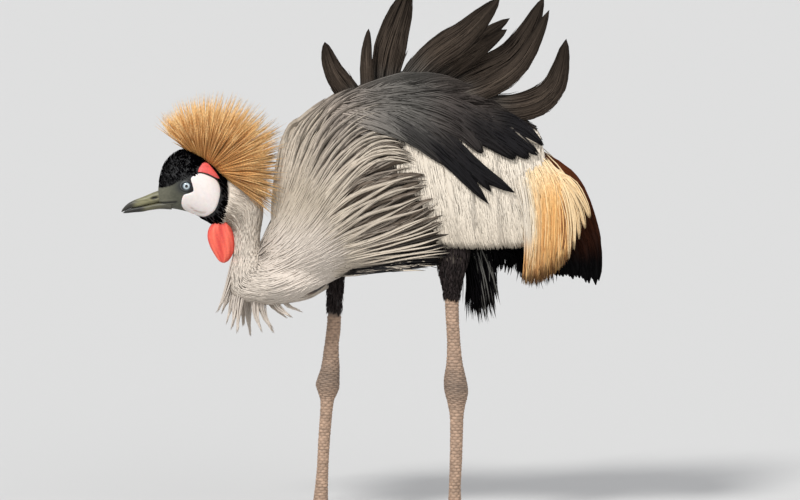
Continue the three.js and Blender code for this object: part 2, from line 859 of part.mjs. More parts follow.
// Long gold plumes: they leave the rear corner of the wing and hang in a sheaf.
const GOLD_RISE = [
  [0, -2],
  [0.2, 11],
  [1, 12.5],
];
function goldPlumes(side) {
  const random = seeded(71);
  const plumes = [];
  for (let i = 0; i < GOLD_PLUMES; i++) {
    const t = i / (GOLD_PLUMES - 1);
    const x0 = mix(212, 242, t);
    const points = [
      [x0, mix(506, 494, t)],
      [mix(x0 + 6, 264, t), mix(452, 478, t)],
      [mix(222, 283, t), mix(392, 430, t)],
      [mix(216, 288, t ** 1.1), mix(330, 386, t ** 2.4) + 8 * random()],
    ];
    const path = laid(points, PLUME, side, GOLD_RISE, side * GOLD_LEAN, 0.06);
    plumes.push({ path, form: PLUME, width: 13, thick: STRAND_THICK });
  }
  return plumes;
}

// Chestnut and black flight feathers behind and below the gold ones.
const FLIGHT_RISE = [
  [0, -4],
  [0.3, -1.5],
  [1, 0],
];
function flightFeathers(side) {
  const random = seeded(83);
  const feathers = [];
  for (let i = 0; i < FLIGHT_FEATHERS; i++) {
    const t = i / (FLIGHT_FEATHERS - 1);
    const points = [
      [mix(206, 240, t), mix(440, 496, t)],
      [mix(232, 286, t), mix(404, 456, t)],
      [mix(252, 311, t), mix(368, 398, t)],
      [mix(266, 321, t), mix(342, 328, t) + 10 * random()],
    ];
    const path = laid(points, BROAD, side, FLIGHT_RISE, side * FLIGHT_LEAN, 0.02);
    feathers.push({ path, form: BROAD, width: 20, thick: BROAD_THICK });
  }
  return feathers;
}

function wingBody(side, grow) {
  const tiers = [...coverts(side), goldPlumes(side), flightFeathers(side)];
  return join([wingShell(side, grow), ...tiers.flatMap((tier) => vanes(tier, grow))]);
}
const wingNode = (side) => largest(wingBody(side, 0).subtract(join([torsoRoom, neckLowerRoom])));
const wingRooms = join([wingBody(-1, GAP), wingBody(1, GAP)]);

// The tail: a short stub with stiff black feathers that hang between the wings.
function tailNode() {
  const random = seeded(97);
  const stub = ball(V(264, 0, 458), V(15, 9, 17), 8, 6);
  const feathers = [];
  for (let i = 0; i < TAIL_FEATHERS; i++) {
    const t = i / (TAIL_FEATHERS - 1) - 0.5;
    const y = t * 15;
    const curve = new THREE.CatmullRomCurve3([
      V(262, y * 0.6, 460),
      V(282, y, 424 + 6 * Math.abs(t)),
      V(296 - 14 * Math.abs(t), y * 1.1, 350 + 12 * random() + 16 * Math.abs(t)),
    ]);
    const path = [...BROAD.at, 1].map((s) => ({ c: curve.getPoint(s), n: V(0.66, 0.72, 0.2).normalize() }));
    feathers.push({ path, form: BROAD, width: 17, thick: BROAD_THICK });
  }
  return largest(join([stub, ...vanes(feathers)]).subtract(join([torsoRoom, wingRooms])));
}

// A leg as ribs: dark thigh, bare shank with its wide hock, and the scaled tarsus.
const NEAR_LEG = {
  side: -1,
  thigh: [
    [96, 402, 148, 396, 17, -34],
    [101, 372, 143, 366, 17, -39],
    [105, 350, 137, 348, 15, -42],
    [110, 330, 133, 329, 12, -44],
    [111.8, 316, 131.4, 316, 9.6, -45],
  ],
  shank: [
    [112, 318, 131, 318, 8.8, -45],
    [113.5, 290, 130.8, 290, 7.6, -45.5],
    [115.5, 255, 132.8, 255, 7.4, -46],
    [114.5, 226, 136, 226, 8.6, -46],
    [111.5, 206, 141, 204, 10.4, -46],
    [111.5, 194, 143, 190, 11, -46],
  ],
  tarsus: [
    [111.5, 191, 143.5, 188, 11, -46],
    [113.5, 182, 142, 178, 10, -46],
    [117, 168, 139, 166, 7.8, -46],
    [119.6, 148, 137, 148, 7, -46],
    [119.4, 100, 135.6, 100, 6.5, -46],
    [118.2, 55, 133.6, 55, 6.7, -46],
    [116, 24, 136, 24, 9, -46],
    [113, 9, 139, 9, 12, -46],
    [115, 2, 137, 2, 10, -46],
  ],
};
const FAR_LEG = {
  side: 1,
  thigh: [
    [-46, 396, 4, 402, 17, 34],
    [-48, 366, -8, 368, 17, 39],
    [-47, 340, -23, 340, 14, 43],
    [-46, 310, -27, 310, 11, 45],
    [-46.4, 280, -28.2, 280, 9, 46],
  ],
  shank: [
    [-46.6, 282, -28.4, 282, 8.6, 46],
    [-47.6, 262, -29, 262, 7.6, 46],
    [-51, 236, -31.6, 236, 8.2, 46],
    [-55, 210, -30.4, 208, 10.4, 46],
    [-58.6, 196, -30.4, 192, 11, 46],
  ],
  tarsus: [
    [-60, 193, -30.6, 189, 11, 46],
    [-62.4, 185, -31, 180, 10, 46],
    [-58.6, 172, -35, 170, 7.8, 46],
    [-56, 158, -39, 158, 7, 46],
    [-59, 110, -43.6, 110, 6.5, 46],
    [-61.4, 66, -46, 66, 6.7, 46],
    [-66, 26, -46.4, 26, 9, 46],
    [-70, 9, -44, 9, 12, 46],
    [-68, 2, -46, 2, 10, 46],
  ],
};
const FLOOR = box(-400, 400, -200, 200, -60, 0);

// Scutes: narrow raised bands on the front of the tarsus.
function scutes(ribs) {
  const along = track(ribs.map((rib, i) => [i, ...rib]));
  const bands = [];
  for (let i = 0; i < 5; i++) {
    const k = mix(3.1, 5.4, i / 4);
    const band = [0, 0.2].map((step) => {
      const [ax, az, bx, bz, half, y] = along(k + step);
      const reach = 0.7;
      return [ax - reach, az, mix(ax, bx, 0.72), bz, half + reach * 0.6, y];
    });
    bands.push(loft(ribRings(band, 6, 0)));
  }
  return bands;
}

function legNodes({ thigh, shank, tarsus }, name) {
  const shankForm = (grow) => ribbed(shank, 12, 1, grow);
  const tarsusForm = (grow) => join([ribbed(tarsus, 10, 1, grow), ...(grow ? [] : scutes(tarsus))]);
  const parting = (z, gap) => box(-400, 400, -200, 200, z + gap, 900);
  const thighEnd = thigh.at(-1)[1];
  const shankEnd = shank.at(-1)[1] - 2;
  const out = {};
  const rooms = join([torsoRoom, wingRooms, neckLowerRoom]);
  out["thigh_" + name] = largest(ribbed(thigh, 12, 1).intersect(parting(thighEnd, 0)).subtract(rooms));
  const lower = shankForm(0).subtract(parting(thighEnd, -GAP));
  out["shank_" + name] = largest(lower.intersect(parting(shankEnd, 0)).subtract(ribbed(thigh, 12, 1, GAP)));
  out["tarsus_" + name] = largest(tarsusForm(0).subtract(parting(shankEnd, -GAP)).subtract(FLOOR));
  out.room = ribbed(tarsus, 10, 1, GAP);
  return out;
}

// A toe runs out from the foot along the floor with its knuckles raised, and ends in a claw.
const TOES = [
  { name: "inner", turn: 32, length: 60 },
  { name: "middle", turn: 0, length: 74 },
  { name: "outer", turn: -32, length: 64 },
  { name: "hind", turn: 168, length: 24 },
];

// Rings across a horizontal direction: distance out, height of the middle, half height, half width.
function runRings(origin, heading, rows, sides) {
  const across = V(-heading.y, heading.x, 0);
  return rows.map(([d, z, high, wide]) => {
    const ring = [];
    for (let j = 0; j < sides; j++) {
      const phi = ((j + 0.5) / sides) * 2 * Math.PI;
      const p = origin.clone().addScaledVector(heading, d).addScaledVector(across, wide * Math.sin(phi));
      p.z = z + high * Math.cos(phi);
      ring.push(p);
    }
    return ring;
  });
}

function footNodes(foot, side, name, room) {
  const out = {};
  const taken = [FLOOR, room];
  for (const { name: toe, turn, length } of TOES) {
    const angle = rad(180 + side * turn);
    const heading = V(Math.cos(angle), Math.sin(angle), 0);
    const origin = V(foot.x, foot.y, 0);
    const thick = toe === "hind" ? 0.82 : 1;
    const joints = [
      [4, 6.4, 6.6, 6.2],
      [0.34 * length, 4.6, 4.9, 5],
      [0.42 * length, 5.2, 5.4, 5.6],
      [0.66 * length, 4.1, 4.4, 4.6],
      [0.72 * length, 4.7, 4.9, 5.1],
      [length, 3.4, 3.8, 4.1],
    ];
    const rows = (toe === "hind" ? [joints[0], joints[4], joints[5]] : joints)
      .map(([d, z, high, wide]) => [d, z * thick, high * thick, wide * thick]);
    const reach = rows.at(-1)[0];
    out["toe_" + toe + "_" + name] = largest(loft(runRings(origin, heading, rows, 8)).subtract(join(taken)));
    const wider = rows.map(([d, z, high, wide]) => [d, z, high + GAP, wide + GAP]);
    taken.push(loft(runRings(origin, heading, wider, 8)));
    const claw = [
      [reach + GAP, 3.4, 3.1, 3],
      [reach + CLAW_LENGTH * 0.35, 3.6, 2.7, 2.3],
      [reach + CLAW_LENGTH * 0.7, 3, 1.8, 1.5],
    ].map(([d, z, high, wide]) => [d, z * thick, high * thick, wide * thick]);
    const point = origin.clone().addScaledVector(heading, reach + CLAW_LENGTH);
    point.z = 1.2;
    out["claw_" + toe + "_" + name] = loft(runRings(origin, heading, claw, 8), point);
  }
  return out;
}

const LOOKS = {
  neck: ["#cdc6bc", 0.85],
  slate: ["#6a6967", 0.85],
  black: ["#0d0b0d", 0.7],
  cap: ["#0a090b", 0.95],
  face: ["#6e6d69", 0.6],
  bill: ["#8f8b82", 0.5],
  eye: ["#c9d3d6", 0.15],
  cheek: ["#f5f0eb", 0.7],
  red: ["#d8413c", 0.6],
  wattle: ["#e2473f", 0.55],
  crest: ["#cda55f", 0.8],
  wing: ["#e6dfd2", 0.85],
  thigh: ["#41373c", 0.9],
  leg: ["#a58c7d", 0.7],
  claw: ["#3a3632", 0.5],
};

function node(name, body, look) {
  const { vertProperties, triVerts, numProp } = body.getMesh();
  const flat = new Float32Array((vertProperties.length / numProp) * 3);
  for (let i = 0; i < flat.length / 3; i++)
    for (let k = 0; k < 3; k++) flat[3 * i + k] = vertProperties[i * numProp + k];
  const geometry = new THREE.BufferGeometry();
  geometry.setAttribute("position", new THREE.BufferAttribute(flat, 3));
  geometry.setIndex(new THREE.BufferAttribute(new Uint32Array(triVerts), 1));
  const [color, roughness] = LOOKS[look];
  const mesh = new THREE.Mesh(geometry, new THREE.MeshStandardMaterial({ color, roughness, metalness: 0 }));
  mesh.name = name;
  return mesh;
}

const crane = new THREE.Group();
crane.name = "grey_crowned_crane";
const add = (name, body, look) => crane.add(node(name, body, look));

add("head", head, "face");
add("cap", cap, "cap");
add("crest", crest, "crest");
add("bill_upper", billUpper, "bill");
add("bill_lower", billLower, "bill");
for (const [side, name] of [
  [-1, "left"],
  [1, "right"],
]) {
  add("eye_" + name, socket(side, EYE.radius), "eye");
  add("cheek_" + name, largest(plate(CHEEK_OUTLINE, side).subtract(neckUpperRoom)), "cheek");
  add("cheek_red_" + name, largest(plate(RED_OUTLINE, side).subtract(crest)), "red");
  add("wing_" + name, wingNode(side), "wing");
}
add("wattle", wattle, "wattle");
add("neck_upper", neckUpper, "neck");
add("neck_lower", neckLower, "neck");
add("torso", torso, "slate");
add("tail", tailNode(), "black");
for (const [leg, foot, name] of [
  [NEAR_LEG, NEAR_FOOT, "left"],
  [FAR_LEG, FAR_FOOT, "right"],
]) {
  const { room, ...bones } = legNodes(leg, name);
  for (const [key, body] of Object.entries(bones)) add(key, body, key.startsWith("thigh") ? "thigh" : "leg");
  const toes = footNodes(foot, leg.side, name, room);
  for (const [key, body] of Object.entries(toes)) add(key, body, key.startsWith("claw") ? "claw" : "leg");
}

export default crane;
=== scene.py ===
import math

import bmesh
import bpy
import numpy as np
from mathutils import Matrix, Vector
from mathutils.bvhtree import BVHTree


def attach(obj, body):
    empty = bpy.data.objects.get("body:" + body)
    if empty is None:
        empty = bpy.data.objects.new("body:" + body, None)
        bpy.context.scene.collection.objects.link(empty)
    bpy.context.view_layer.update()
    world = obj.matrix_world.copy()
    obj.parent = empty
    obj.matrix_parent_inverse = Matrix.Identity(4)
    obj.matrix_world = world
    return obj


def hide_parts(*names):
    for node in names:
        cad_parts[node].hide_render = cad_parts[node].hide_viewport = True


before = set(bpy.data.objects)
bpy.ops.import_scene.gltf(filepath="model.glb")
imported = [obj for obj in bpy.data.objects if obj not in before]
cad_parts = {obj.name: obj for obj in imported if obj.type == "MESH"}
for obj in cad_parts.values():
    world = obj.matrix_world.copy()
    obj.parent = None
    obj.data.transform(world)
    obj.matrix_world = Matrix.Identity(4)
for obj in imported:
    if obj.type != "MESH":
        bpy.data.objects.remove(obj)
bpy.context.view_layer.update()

MM = 0.001
TURN = 2 * math.pi
SIDES = {"left": -1, "right": 1}


def lerp(a, b, t):
    return a + (b - a) * t


def ease(t):
    t = np.clip(t, 0, 1)
    return t * t * (3 - 2 * t)


def bell(offset, width):
    return np.exp(-((offset / width) ** 2))


def unit(v):
    return v / np.maximum(np.linalg.norm(v, axis=-1, keepdims=True), 1e-9)


def vec(x, y, z):
    return np.stack(np.broadcast_arrays(x, y, z), -1).astype(float)


def pair(x, z):
    return np.stack(np.broadcast_arrays(x, z), -1)


def split(values):
    return np.moveaxis(values, -1, 0)


def line(stations):
    return np.linspace(0, 1, stations)[None]


def circle(sides):
    return np.linspace(0, TURN, sides, endpoint=False)


def random_of(seed):
    return np.random.default_rng(seed)


def srgb(r, g, b):
    """A colour given as it looks on a screen, 0 to 255, as linear light."""
    c = np.array([r, g, b], float) / 255
    return np.where(c < 0.04045, c / 12.92, ((c + 0.055) / 1.055) ** 2.4)


def shade(colour, amount):
    return colour * np.asarray(amount)[..., None]


def mix(a, b, t):
    return lerp(a, b, np.clip(np.asarray(t, float), 0, 1)[..., None])


def track(rows):
    """Smooth interpolation through rows of [key, value, value ...]."""
    table = np.array(rows, float)
    keys, values = table[:, 0], table[:, 1:]
    last = len(keys) - 1
    before = np.maximum(np.arange(last + 1) - 1, 0)
    after = np.minimum(np.arange(last + 1) + 1, last)
    slope = (values[after] - values[before]) / (keys[after] - keys[before])[:, None]

    def at(key):
        key = np.asarray(key, float)
        i = np.clip(np.searchsorted(keys, key) - 1, 0, last - 1)
        h = (keys[i + 1] - keys[i])[..., None]
        t = np.clip((key[..., None] - keys[i][..., None]) / h, 0, 1)
        u = t - 1
        start = (1 + 2 * t) * u * u * values[i] + t * u * u * h * slope[i]
        return start + t * t * (3 - 2 * t) * values[i + 1] + t * t * u * h * slope[i + 1]

    return at


def level(*rows):
    """The same for rows of [key, value], as plain numbers."""
    at = track(rows)
    return lambda key: at(key)[..., 0]


def through(points, t):
    """Catmull-Rom curves: points is (count, stops, axes) and t is (count, stations) from 0 to 1."""
    stops = points.shape[1]
    place = np.clip(t, 0, 1) * (stops - 1)
    i = np.minimum(place.astype(int), stops - 2)
    u = (place - i)[..., None]
    row = np.arange(len(points))[:, None]
    p0, p1, p2, p3 = (points[row, np.clip(i + k, 0, stops - 1)] for k in (-1, 0, 1, 2))
    a = 2 * p1 + (p2 - p0) * u
    b = (2 * p0 - 5 * p1 + 4 * p2 - p3) * u**2
    return 0.5 * (a + b + (3 * p1 - 3 * p2 + p3 - p0) * u**3)


def bezier(root, leave, arrive, end, t):
    u = 1 - t
    return u**3 * root + 3 * u * u * t * leave + 3 * u * t * t * arrive + t**3 * end


def heading(angle):
    return pair(np.cos(angle), np.sin(angle))


def mottle(x, y, seed):
    """Smooth random values from 0 to 1 over a plane, one cell for each unit of x and y."""
    grid = random_of(seed).random((64, 64))
    x, y = np.broadcast_arrays(np.asarray(x, float), np.asarray(y, float))
    i, j = np.floor(x).astype(int), np.floor(y).astype(int)
    u, v = ease(x - i), ease(y - j)
    low = lerp(grid[i % 64, j % 64], grid[(i + 1) % 64, j % 64], u)
    high = lerp(grid[i % 64, (j + 1) % 64], grid[(i + 1) % 64, (j + 1) % 64], u)
    return lerp(low, high, v)


# Meshes


def make_mesh(name, points, faces, tint=None, along=None, across=None, uv=None):
    """An object from points in millimetres and a list of face arrays, each (count, corners)."""
    mesh = bpy.data.meshes.new(name)
    loops = np.concatenate([f.ravel() for f in faces]).astype(np.int32)
    sizes = np.concatenate([np.full(len(f), f.shape[1], np.int32) for f in faces])
    mesh.vertices.add(len(points))
    mesh.vertices.foreach_set("co", (points * MM).astype(np.float32).ravel())
    mesh.loops.add(len(loops))
    mesh.loops.foreach_set("vertex_index", loops)
    mesh.polygons.add(len(sizes))
    mesh.polygons.foreach_set("loop_start", np.cumsum(sizes, dtype=np.int32) - sizes)
    mesh.update(calc_edges=True)
    mesh.shade_smooth()
    if tint is not None:
        set_tint(mesh, tint)
    for key, values in (("along", along), ("across", across)):
        if values is not None:
            layer = mesh.attributes.new(key, "FLOAT", "POINT")
            layer.data.foreach_set("value", values.astype(np.float32).ravel())
    if uv is not None:
        layer = mesh.uv_layers.new(name="OFBake")
        layer.uv.foreach_set("vector", uv[loops].astype(np.float32).ravel())
    thing = bpy.data.objects.new(name, mesh)
    bpy.context.scene.collection.objects.link(thing)
    return thing


def set_tint(mesh, tint):
    rgba = np.ones((len(mesh.vertices), 4), np.float32)
    rgba[:, :3] = tint
    layer = mesh.color_attributes.new("tint", "FLOAT_COLOR", "POINT")
    layer.data.foreach_set("color", rgba.ravel())


def own(thing, material, slot, *nodes):
    """Gives a piece its material and the solids that it stands for; its slot is not used."""
    thing.data.materials.append(material)
    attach(thing, "root")
    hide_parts(*nodes)
    return thing


def outward(points, faces):
    """The face arrays, turned over where the first of them holds its volume inside out."""
    corners = points[faces[0]]
    a, b, c = (corners[:, i] for i in range(3))
    total = np.einsum("ij,ij->", a, np.cross(b, c))
    if corners.shape[1] == 4:
        total += np.einsum("ij,ij->", a, np.cross(c, corners[:, 3]))
    return [f[:, ::-1] for f in faces] if total < 0 else faces


def loft_faces(rings, sides, closed=True):
    """Quads between rings of equal size."""
    i = np.arange(rings - 1)[:, None]
    j = np.arange(sides if closed else sides - 1)[None, :]
    k = (j + 1) % sides
    a, b = i * sides + j, i * sides + k
    return np.stack([a, b, b + sides, a + sides], -1).reshape(-1, 4)


def loft_mesh(rings):
    """Points and faces of a closed body through rings (count, sides, 3), with a fan at each end."""
    count, sides, _ = rings.shape
    points = np.concatenate([rings.reshape(-1, 3), rings[:1].mean(1), rings[-1:].mean(1)])
    j = np.arange(sides)
    k = (j + 1) % sides
    tip = np.full(sides, count * sides)
    end = tip - sides
    fans = [np.stack([tip, k, j], -1), np.stack([tip + 1, end + j, end + k], -1)]
    return points, outward(points, [loft_faces(count, sides), *fans])


def joined(bodies):
    """One mesh from several bodies of points and faces."""
    points, faces, start = [], [], 0
    for body, parts in bodies:
        points.append(body)
        faces += [f + start for f in parts]
        start += len(body)
    return np.concatenate(points), faces


class Run:
    """The middle lines of many feathers: place, face normal and half width at each station."""

    def __init__(self, centre, normal, half):
        self.centre = centre
        along = unit(np.gradient(centre, axis=1))
        self.across = unit(np.cross(along, normal))
        self.up = np.cross(self.across, along)
        self.half = np.broadcast_to(half, centre.shape[:2])

    def at(self, i, t, side=0.0, lift=0.0, camber=0.0):
        """A point of feather i at share t of its length; side runs from -1 to 1 across its vane."""
        stations = self.centre.shape[1]
        place = np.clip(t, 0, 1) * (stations - 1)
        k = np.minimum(place.astype(int), stations - 2)
        u = (place - k)[..., None]
        pick = [lerp(a[i, k], a[i, k + 1], u) for a in (self.centre, self.across, self.up)]
        half = lerp(self.half[i, k], self.half[i, k + 1], u[..., 0])
        rise = (camber * half * (1 - side**2) + lift)[..., None]
        return pick[0] + pick[1] * (half * side)[..., None] + pick[2] * rise, pick[2]


# The size of one tuft's patch on the bake map.
PATCH = 0.003


def place_uv(root_uv, along, across):
    """Each tuft's patch of the bake map, at its root's place."""
    low, high = root_uv.min(0), root_uv.max(0)
    place = 0.005 + 0.985 * (root_uv - low) / np.maximum(high - low, 1e-6)
    return (place[:, None, :] + pair(along, across) * PATCH).reshape(-1, 2)


def repeated(faces, count, size):
    """One tuft's faces, for each of many tufts of a size in points."""
    return (faces[None] + (np.arange(count) * size)[:, None, None]).reshape(-1, faces.shape[1])


def strands(name, run, ridge, tint, root_uv):
    """Narrow closed locks: a flat base, a ridge along the middle, and a pointed tip."""
    count, stations = run.centre.shape[:2]
    rings = stations - 1
    w = (run.across * run.half[..., None])[:, :rings]
    h = (run.up * np.broadcast_to(ridge, (count, stations))[..., None])[:, :rings]
    c = run.centre[:, :rings]
    body = np.stack([c - w, c + h, c + w], 2).reshape(count, rings * 3, 3)
    points = np.concatenate([body, run.centre[:, -1:]], 1).reshape(-1, 3)
    size = rings * 3 + 1
    band = np.array([[0, 1, 4, 3], [1, 2, 5, 4], [2, 0, 3, 5]])
    tip = np.array([[0, 1, 3], [1, 2, 3], [2, 0, 3]]) + 3 * (rings - 1)
    quads = repeated(repeated(band, rings - 1, 3), count, size)
    tris = repeated(np.concatenate([tip, [[0, 2, 1]]]), count, size)
    index = np.concatenate([np.repeat(np.arange(rings), 3), [rings]])
    across = np.concatenate([np.tile([0.0, 0.5, 1.0], rings), [0.5]])
    tint = tint if tint.ndim == 3 else tint[:, None]
    colour = np.broadcast_to(tint, (count, stations, 3))[:, index].reshape(-1, 3)
    uv = place_uv(root_uv, index / rings, across)
    along = np.tile(index / rings, count)
    return make_mesh(name, points, outward(points, [quads, tris]), colour, along, uv=uv)


def vanes(name, run, thick, tint, root_uv, columns=7, camber=0.12):
    """Broad closed feathers: a cambered face and a back, over the whole width at each station."""
    count, stations = run.centre.shape[:2]
    v = np.linspace(-1, 1, columns)
    i, t, side = np.broadcast_arrays(np.arange(count)[:, None, None], line(stations)[..., None], v)
    face, up = run.at(i, t, side, 0.0, camber)
    back = face - up * thick * (1 - 0.75 * v**4)[None, None, :, None]
    points = np.stack([face, back], 1).reshape(-1, 3)
    grid = stations * columns
    quads = loft_faces(stations, columns, closed=False)
    place = np.arange(grid).reshape(stations, columns)
    rim = np.concatenate([place[0], place[1:, -1], place[-1, -2::-1], place[-2:0:-1, 0]])
    after = np.roll(rim, -1)
    skirt = np.stack([after, rim, rim + grid, after + grid], -1)
    cells = repeated(np.concatenate([quads, quads[:, ::-1] + grid, skirt]), count, 2 * grid)
    along, across = (np.tile(a[:1].reshape(1, -1), (count, 2)) for a in (t, side))
    colour = tint(along, across, np.arange(count)[:, None]).reshape(-1, 3)
    uv = place_uv(root_uv, along, (across + 1) / 2)
    return make_mesh(name, points, outward(points, [cells]), colour, along, across, uv)


def widths(rng, count, width, spread, t, knots, shares):
    """Half widths of feathers that vary from one to the next and along each."""
    return 0.5 * width * rng.uniform(*spread, count)[:, None] * np.interp(t, knots, shares)


def vary(rng, count, low, high):
    """A random number for each feather, as a column."""
    return rng.uniform(low, high, count)[:, None]


def coat(name, points, normal, half, ridge, tint, uv, material, slot, *nodes):
    """A piece of strands; its ridge is a share of the half width and a least height."""
    run = Run(points, normal, half)
    return own(strands(name, run, ridge[0] * half + ridge[1], tint, uv), material, slot, *nodes)


def leaned(points, normal, lean):
    """Face normals turned about the feathers' own lines."""
    return unit(normal + lean * np.cross(unit(np.gradient(points, axis=1)), normal))


# Materials


def new_material(name, roughness, **sockets):
    mat = bpy.data.materials.new(name)
    mat.use_nodes = True
    shader = mat.node_tree.nodes["Principled BSDF"]
    for key, value in {"Roughness": roughness, **sockets}.items():
        shader.inputs[key.replace("_", " ")].default_value = value
    return mat, mat.node_tree, shader


def node(tree, kind, links, values=None, **settings):
    """A shader node with links into it, socket values and settings."""
    made = tree.nodes.new(kind)
    for key, value in settings.items():
        setattr(made, key, value)
    for key, value in (values or {}).items():
        made.inputs[key].default_value = value
    for key, source in links.items():
        tree.links.new(source, made.inputs[key])
    return made


def attribute(tree, name, output="Fac"):
    return node(tree, "ShaderNodeAttribute", {}, attribute_name=name).outputs[output]


def place_of(tree):
    return node(tree, "ShaderNodeTexCoord", {}).outputs["Object"]


def sums(tree, operation, a, b):
    """A sum of a socket with a number or another socket."""
    socket = isinstance(b, bpy.types.NodeSocket)
    links, values = ({0: a, 1: b}, {}) if socket else ({0: a}, {1: b})
    return node(tree, "ShaderNodeMath", links, values, operation=operation).outputs[0]


def dimmed(tree, colour, value, start, end, dark):
    """A colour times a share that goes from dark to 1 as a value goes from start to end."""
    span = {"From Min": start, "From Max": end, "To Min": dark, "To Max": 1.0}
    share = node(tree, "ShaderNodeMapRange", {"Value": value}, span)
    links = {6: colour, 7: share.outputs[0]}
    return node(tree, "ShaderNodeMix", links, {0: 1.0}, data_type="RGBA", blend_type="MULTIPLY").outputs[2]


def mottled(tree, colour, scale, dark, stretch=None):
    """A colour dimmed here and there by noise of a scale in cells a metre."""
    place = place_of(tree)
    if stretch:
        place = node(tree, "ShaderNodeMapping", {"Vector": place}, {"Scale": stretch}).outputs[0]
    noise = node(tree, "ShaderNodeTexNoise", {"Vector": place}, {"Scale": scale, "Detail": 4.0}).outputs[0]
    return dimmed(tree, colour, noise, 0.3, 0.7, dark), noise


def finish(tree, shader, colour, height, distance, strength):
    """Links the colour and a bump of a height to the shader."""
    tree.links.new(colour, shader.inputs["Base Color"])
    if distance:
        made = node(tree, "ShaderNodeBump", {"Height": height}, {"Strength": strength, "Distance": distance})
        tree.links.new(made.outputs[0], shader.inputs["Normal"])


def tinted(name, roughness, scale, dark, distance, strength, stretch=None, cells=None, **sockets):
    """The piece's own tint, dimmed by noise, with the relief of that noise or of fine cells."""
    mat, tree, shader = new_material(name, roughness, **sockets)
    colour, grain = mottled(tree, attribute(tree, "tint", "Color"), scale, dark, stretch)
    if cells:
        made = node(tree, "ShaderNodeTexVoronoi", {"Vector": place_of(tree)}, {"Scale": cells})
        grain = made.outputs["Distance"]
    finish(tree, shader, colour, grain, distance, strength)
    return mat


def plumage_look(name, roughness, dark=0.9, gloss=0.2, relief=0.4):
    """Plumage: fine streaks in its tint, and the fine relief of barbs."""
    return tinted(name, roughness, 420.0, dark, 0.0006, relief, Specular_IOR_Level=gloss)


def vane_look(name, roughness, barbs, dark, groove):
    """A broad vane: slanting barbs drawn from its own length and width, with painted shade in the grooves
    between them.
    """
    mat, tree, shader = new_material(name, roughness, Specular_IOR_Level=0.06)
    slant = sums(tree, "MULTIPLY", sums(tree, "ABSOLUTE", attribute(tree, "across"), 0.0), 0.16)
    run = sums(tree, "SUBTRACT", attribute(tree, "along"), slant)
    wave = sums(tree, "SINE", sums(tree, "MULTIPLY", run, barbs * TURN), 0.0)
    colour, _ = mottled(tree, attribute(tree, "tint", "Color"), 260.0, dark)
    # The barb wave darkens the grooves it sinks: painted shade between the barbs.
    finish(tree, shader, dimmed(tree, colour, wave, -1.0, 1.0, groove), wave, 0.0004, 0.4)
    return mat


def crest_look():
    """Twisted two-coloured bristles: straw with brown turns."""
    mat, tree, shader = new_material("crest", 0.5)
    wave = sums(tree, "SINE", sums(tree, "MULTIPLY", attribute(tree, "along"), CREST_TURNS * TURN), 0.0)
    colour = dimmed(tree, attribute(tree, "tint", "Color"), wave, -1.0, 1.0, 0.74)
    finish(tree, shader, colour, wave, 0.0003, 0.5)
    return mat


# Forms of the bird, as in its solids

DROOP = 0.3
# The envelope of the plumage by X: middle, half height, half width.
plumage = track(
    [
        [-128, 404, 70, 16], [-121, 404, 94, 29], [-103, 424, 113, 43], [-70, 441, 125, 54],
        [-42, 454, 125, 62], [-22, 467, 119, 66], [32, 479, 120, 70], [92.5, 478, 118, 70],
        [153, 472, 108, 64], [207, 463, 90, 50], [248, 455, 80, 38], [290, 440, 85, 30], [330, 430, 90, 24],
    ]
)


def around(x, angle):
    """The plumage envelope at a signed angle from the top of the back; negative angles are the left side."""
    middle, high, wide = split(plumage(x))
    r = np.cos(angle)
    curve = np.abs(np.sin(angle))
    hang = lerp(curve, 1 - DROOP * r * r, ease((x + 60) / 140))
    return vec(x, np.sign(angle) * wide * np.where(r < 0, hang, curve), middle + high * r)


# How far the feathers keep under the ridge of the envelope by X, and how softly they bend to it.
ridge_depth = level(
    [-128, 3], [-100, 4], [-80, 12], [-55, 9], [-30, 2], [-5, -6],
    [30, -13], [100, -13], [150, -8], [190, 2], [240, 5],
)
RIDGE_SOFT = 3.0


def over(x, z, side, lift):
    """A lifted point of the envelope and its outward normal, from a place in the side view."""
    x, z, side, lift = np.broadcast_arrays(x, z, side, lift)
    middle, high, _ = split(plumage(x))
    top = middle + high - ridge_depth(x)
    z = top - RIDGE_SOFT * np.logaddexp(0, (top - z) / RIDGE_SOFT)
    r = np.clip((z - middle) / high, -0.985, 0.985)
    angle = side * np.arccos(r)
    c = around(x, angle)
    dx = around(x + 1, angle) - around(x - 1, angle)
    da = around(x, angle + 0.02) - around(x, angle - 0.02)
    n = unit(np.cross(dx, da))
    c[..., 2] += z - (middle + high * r)
    return c + n * lift[..., None], n


def body_uv(points):
    """An unwrap of the trunk: distance along it, and the angle round its middle line."""
    angle = np.arctan2(points[:, 1], points[:, 2] - plumage(points[:, 0])[:, 0])
    return pair(points[:, 0] / 460, angle / TURN)


# The fan of the long hackles: where each streamline starts and ends, and its heading there.
fan_roots = track([[0, -123, 371], [0.5, -121, 344], [1, -101, 322]])
fan_tips = track(
    [
        [0, -40, 583], [0.125, -4, 588], [0.25, 32, 566], [0.375, 54, 531], [0.5, 78, 490],
        [0.625, 96, 449], [0.75, 112, 412], [0.875, 117, 376], [1, 92, 354],
    ]
)
fan_arrival = level([0, 14], [0.25, 4], [0.36, -16], [0.46, -26], [0.54, 4], [0.66, 30], [0.8, 14], [1, -8])


def stream(f, s):
    """The streamlines of the long hackles in the side view: f counts them from back to belly."""
    f, s = np.broadcast_arrays(f, s)
    root, end = fan_roots(f), fan_tips(f)
    length = np.linalg.norm(end - root, axis=-1, keepdims=True)
    out = heading(np.radians(lerp(88, 12, np.clip(f, 0, 1) ** 0.9)))
    leave = root + length * lerp(0.52, 0.33, f)[..., None] * out
    arrive = end - 0.32 * length * heading(np.radians(fan_arrival(f)))
    return bezier(root, leave, arrive, end, s[..., None])


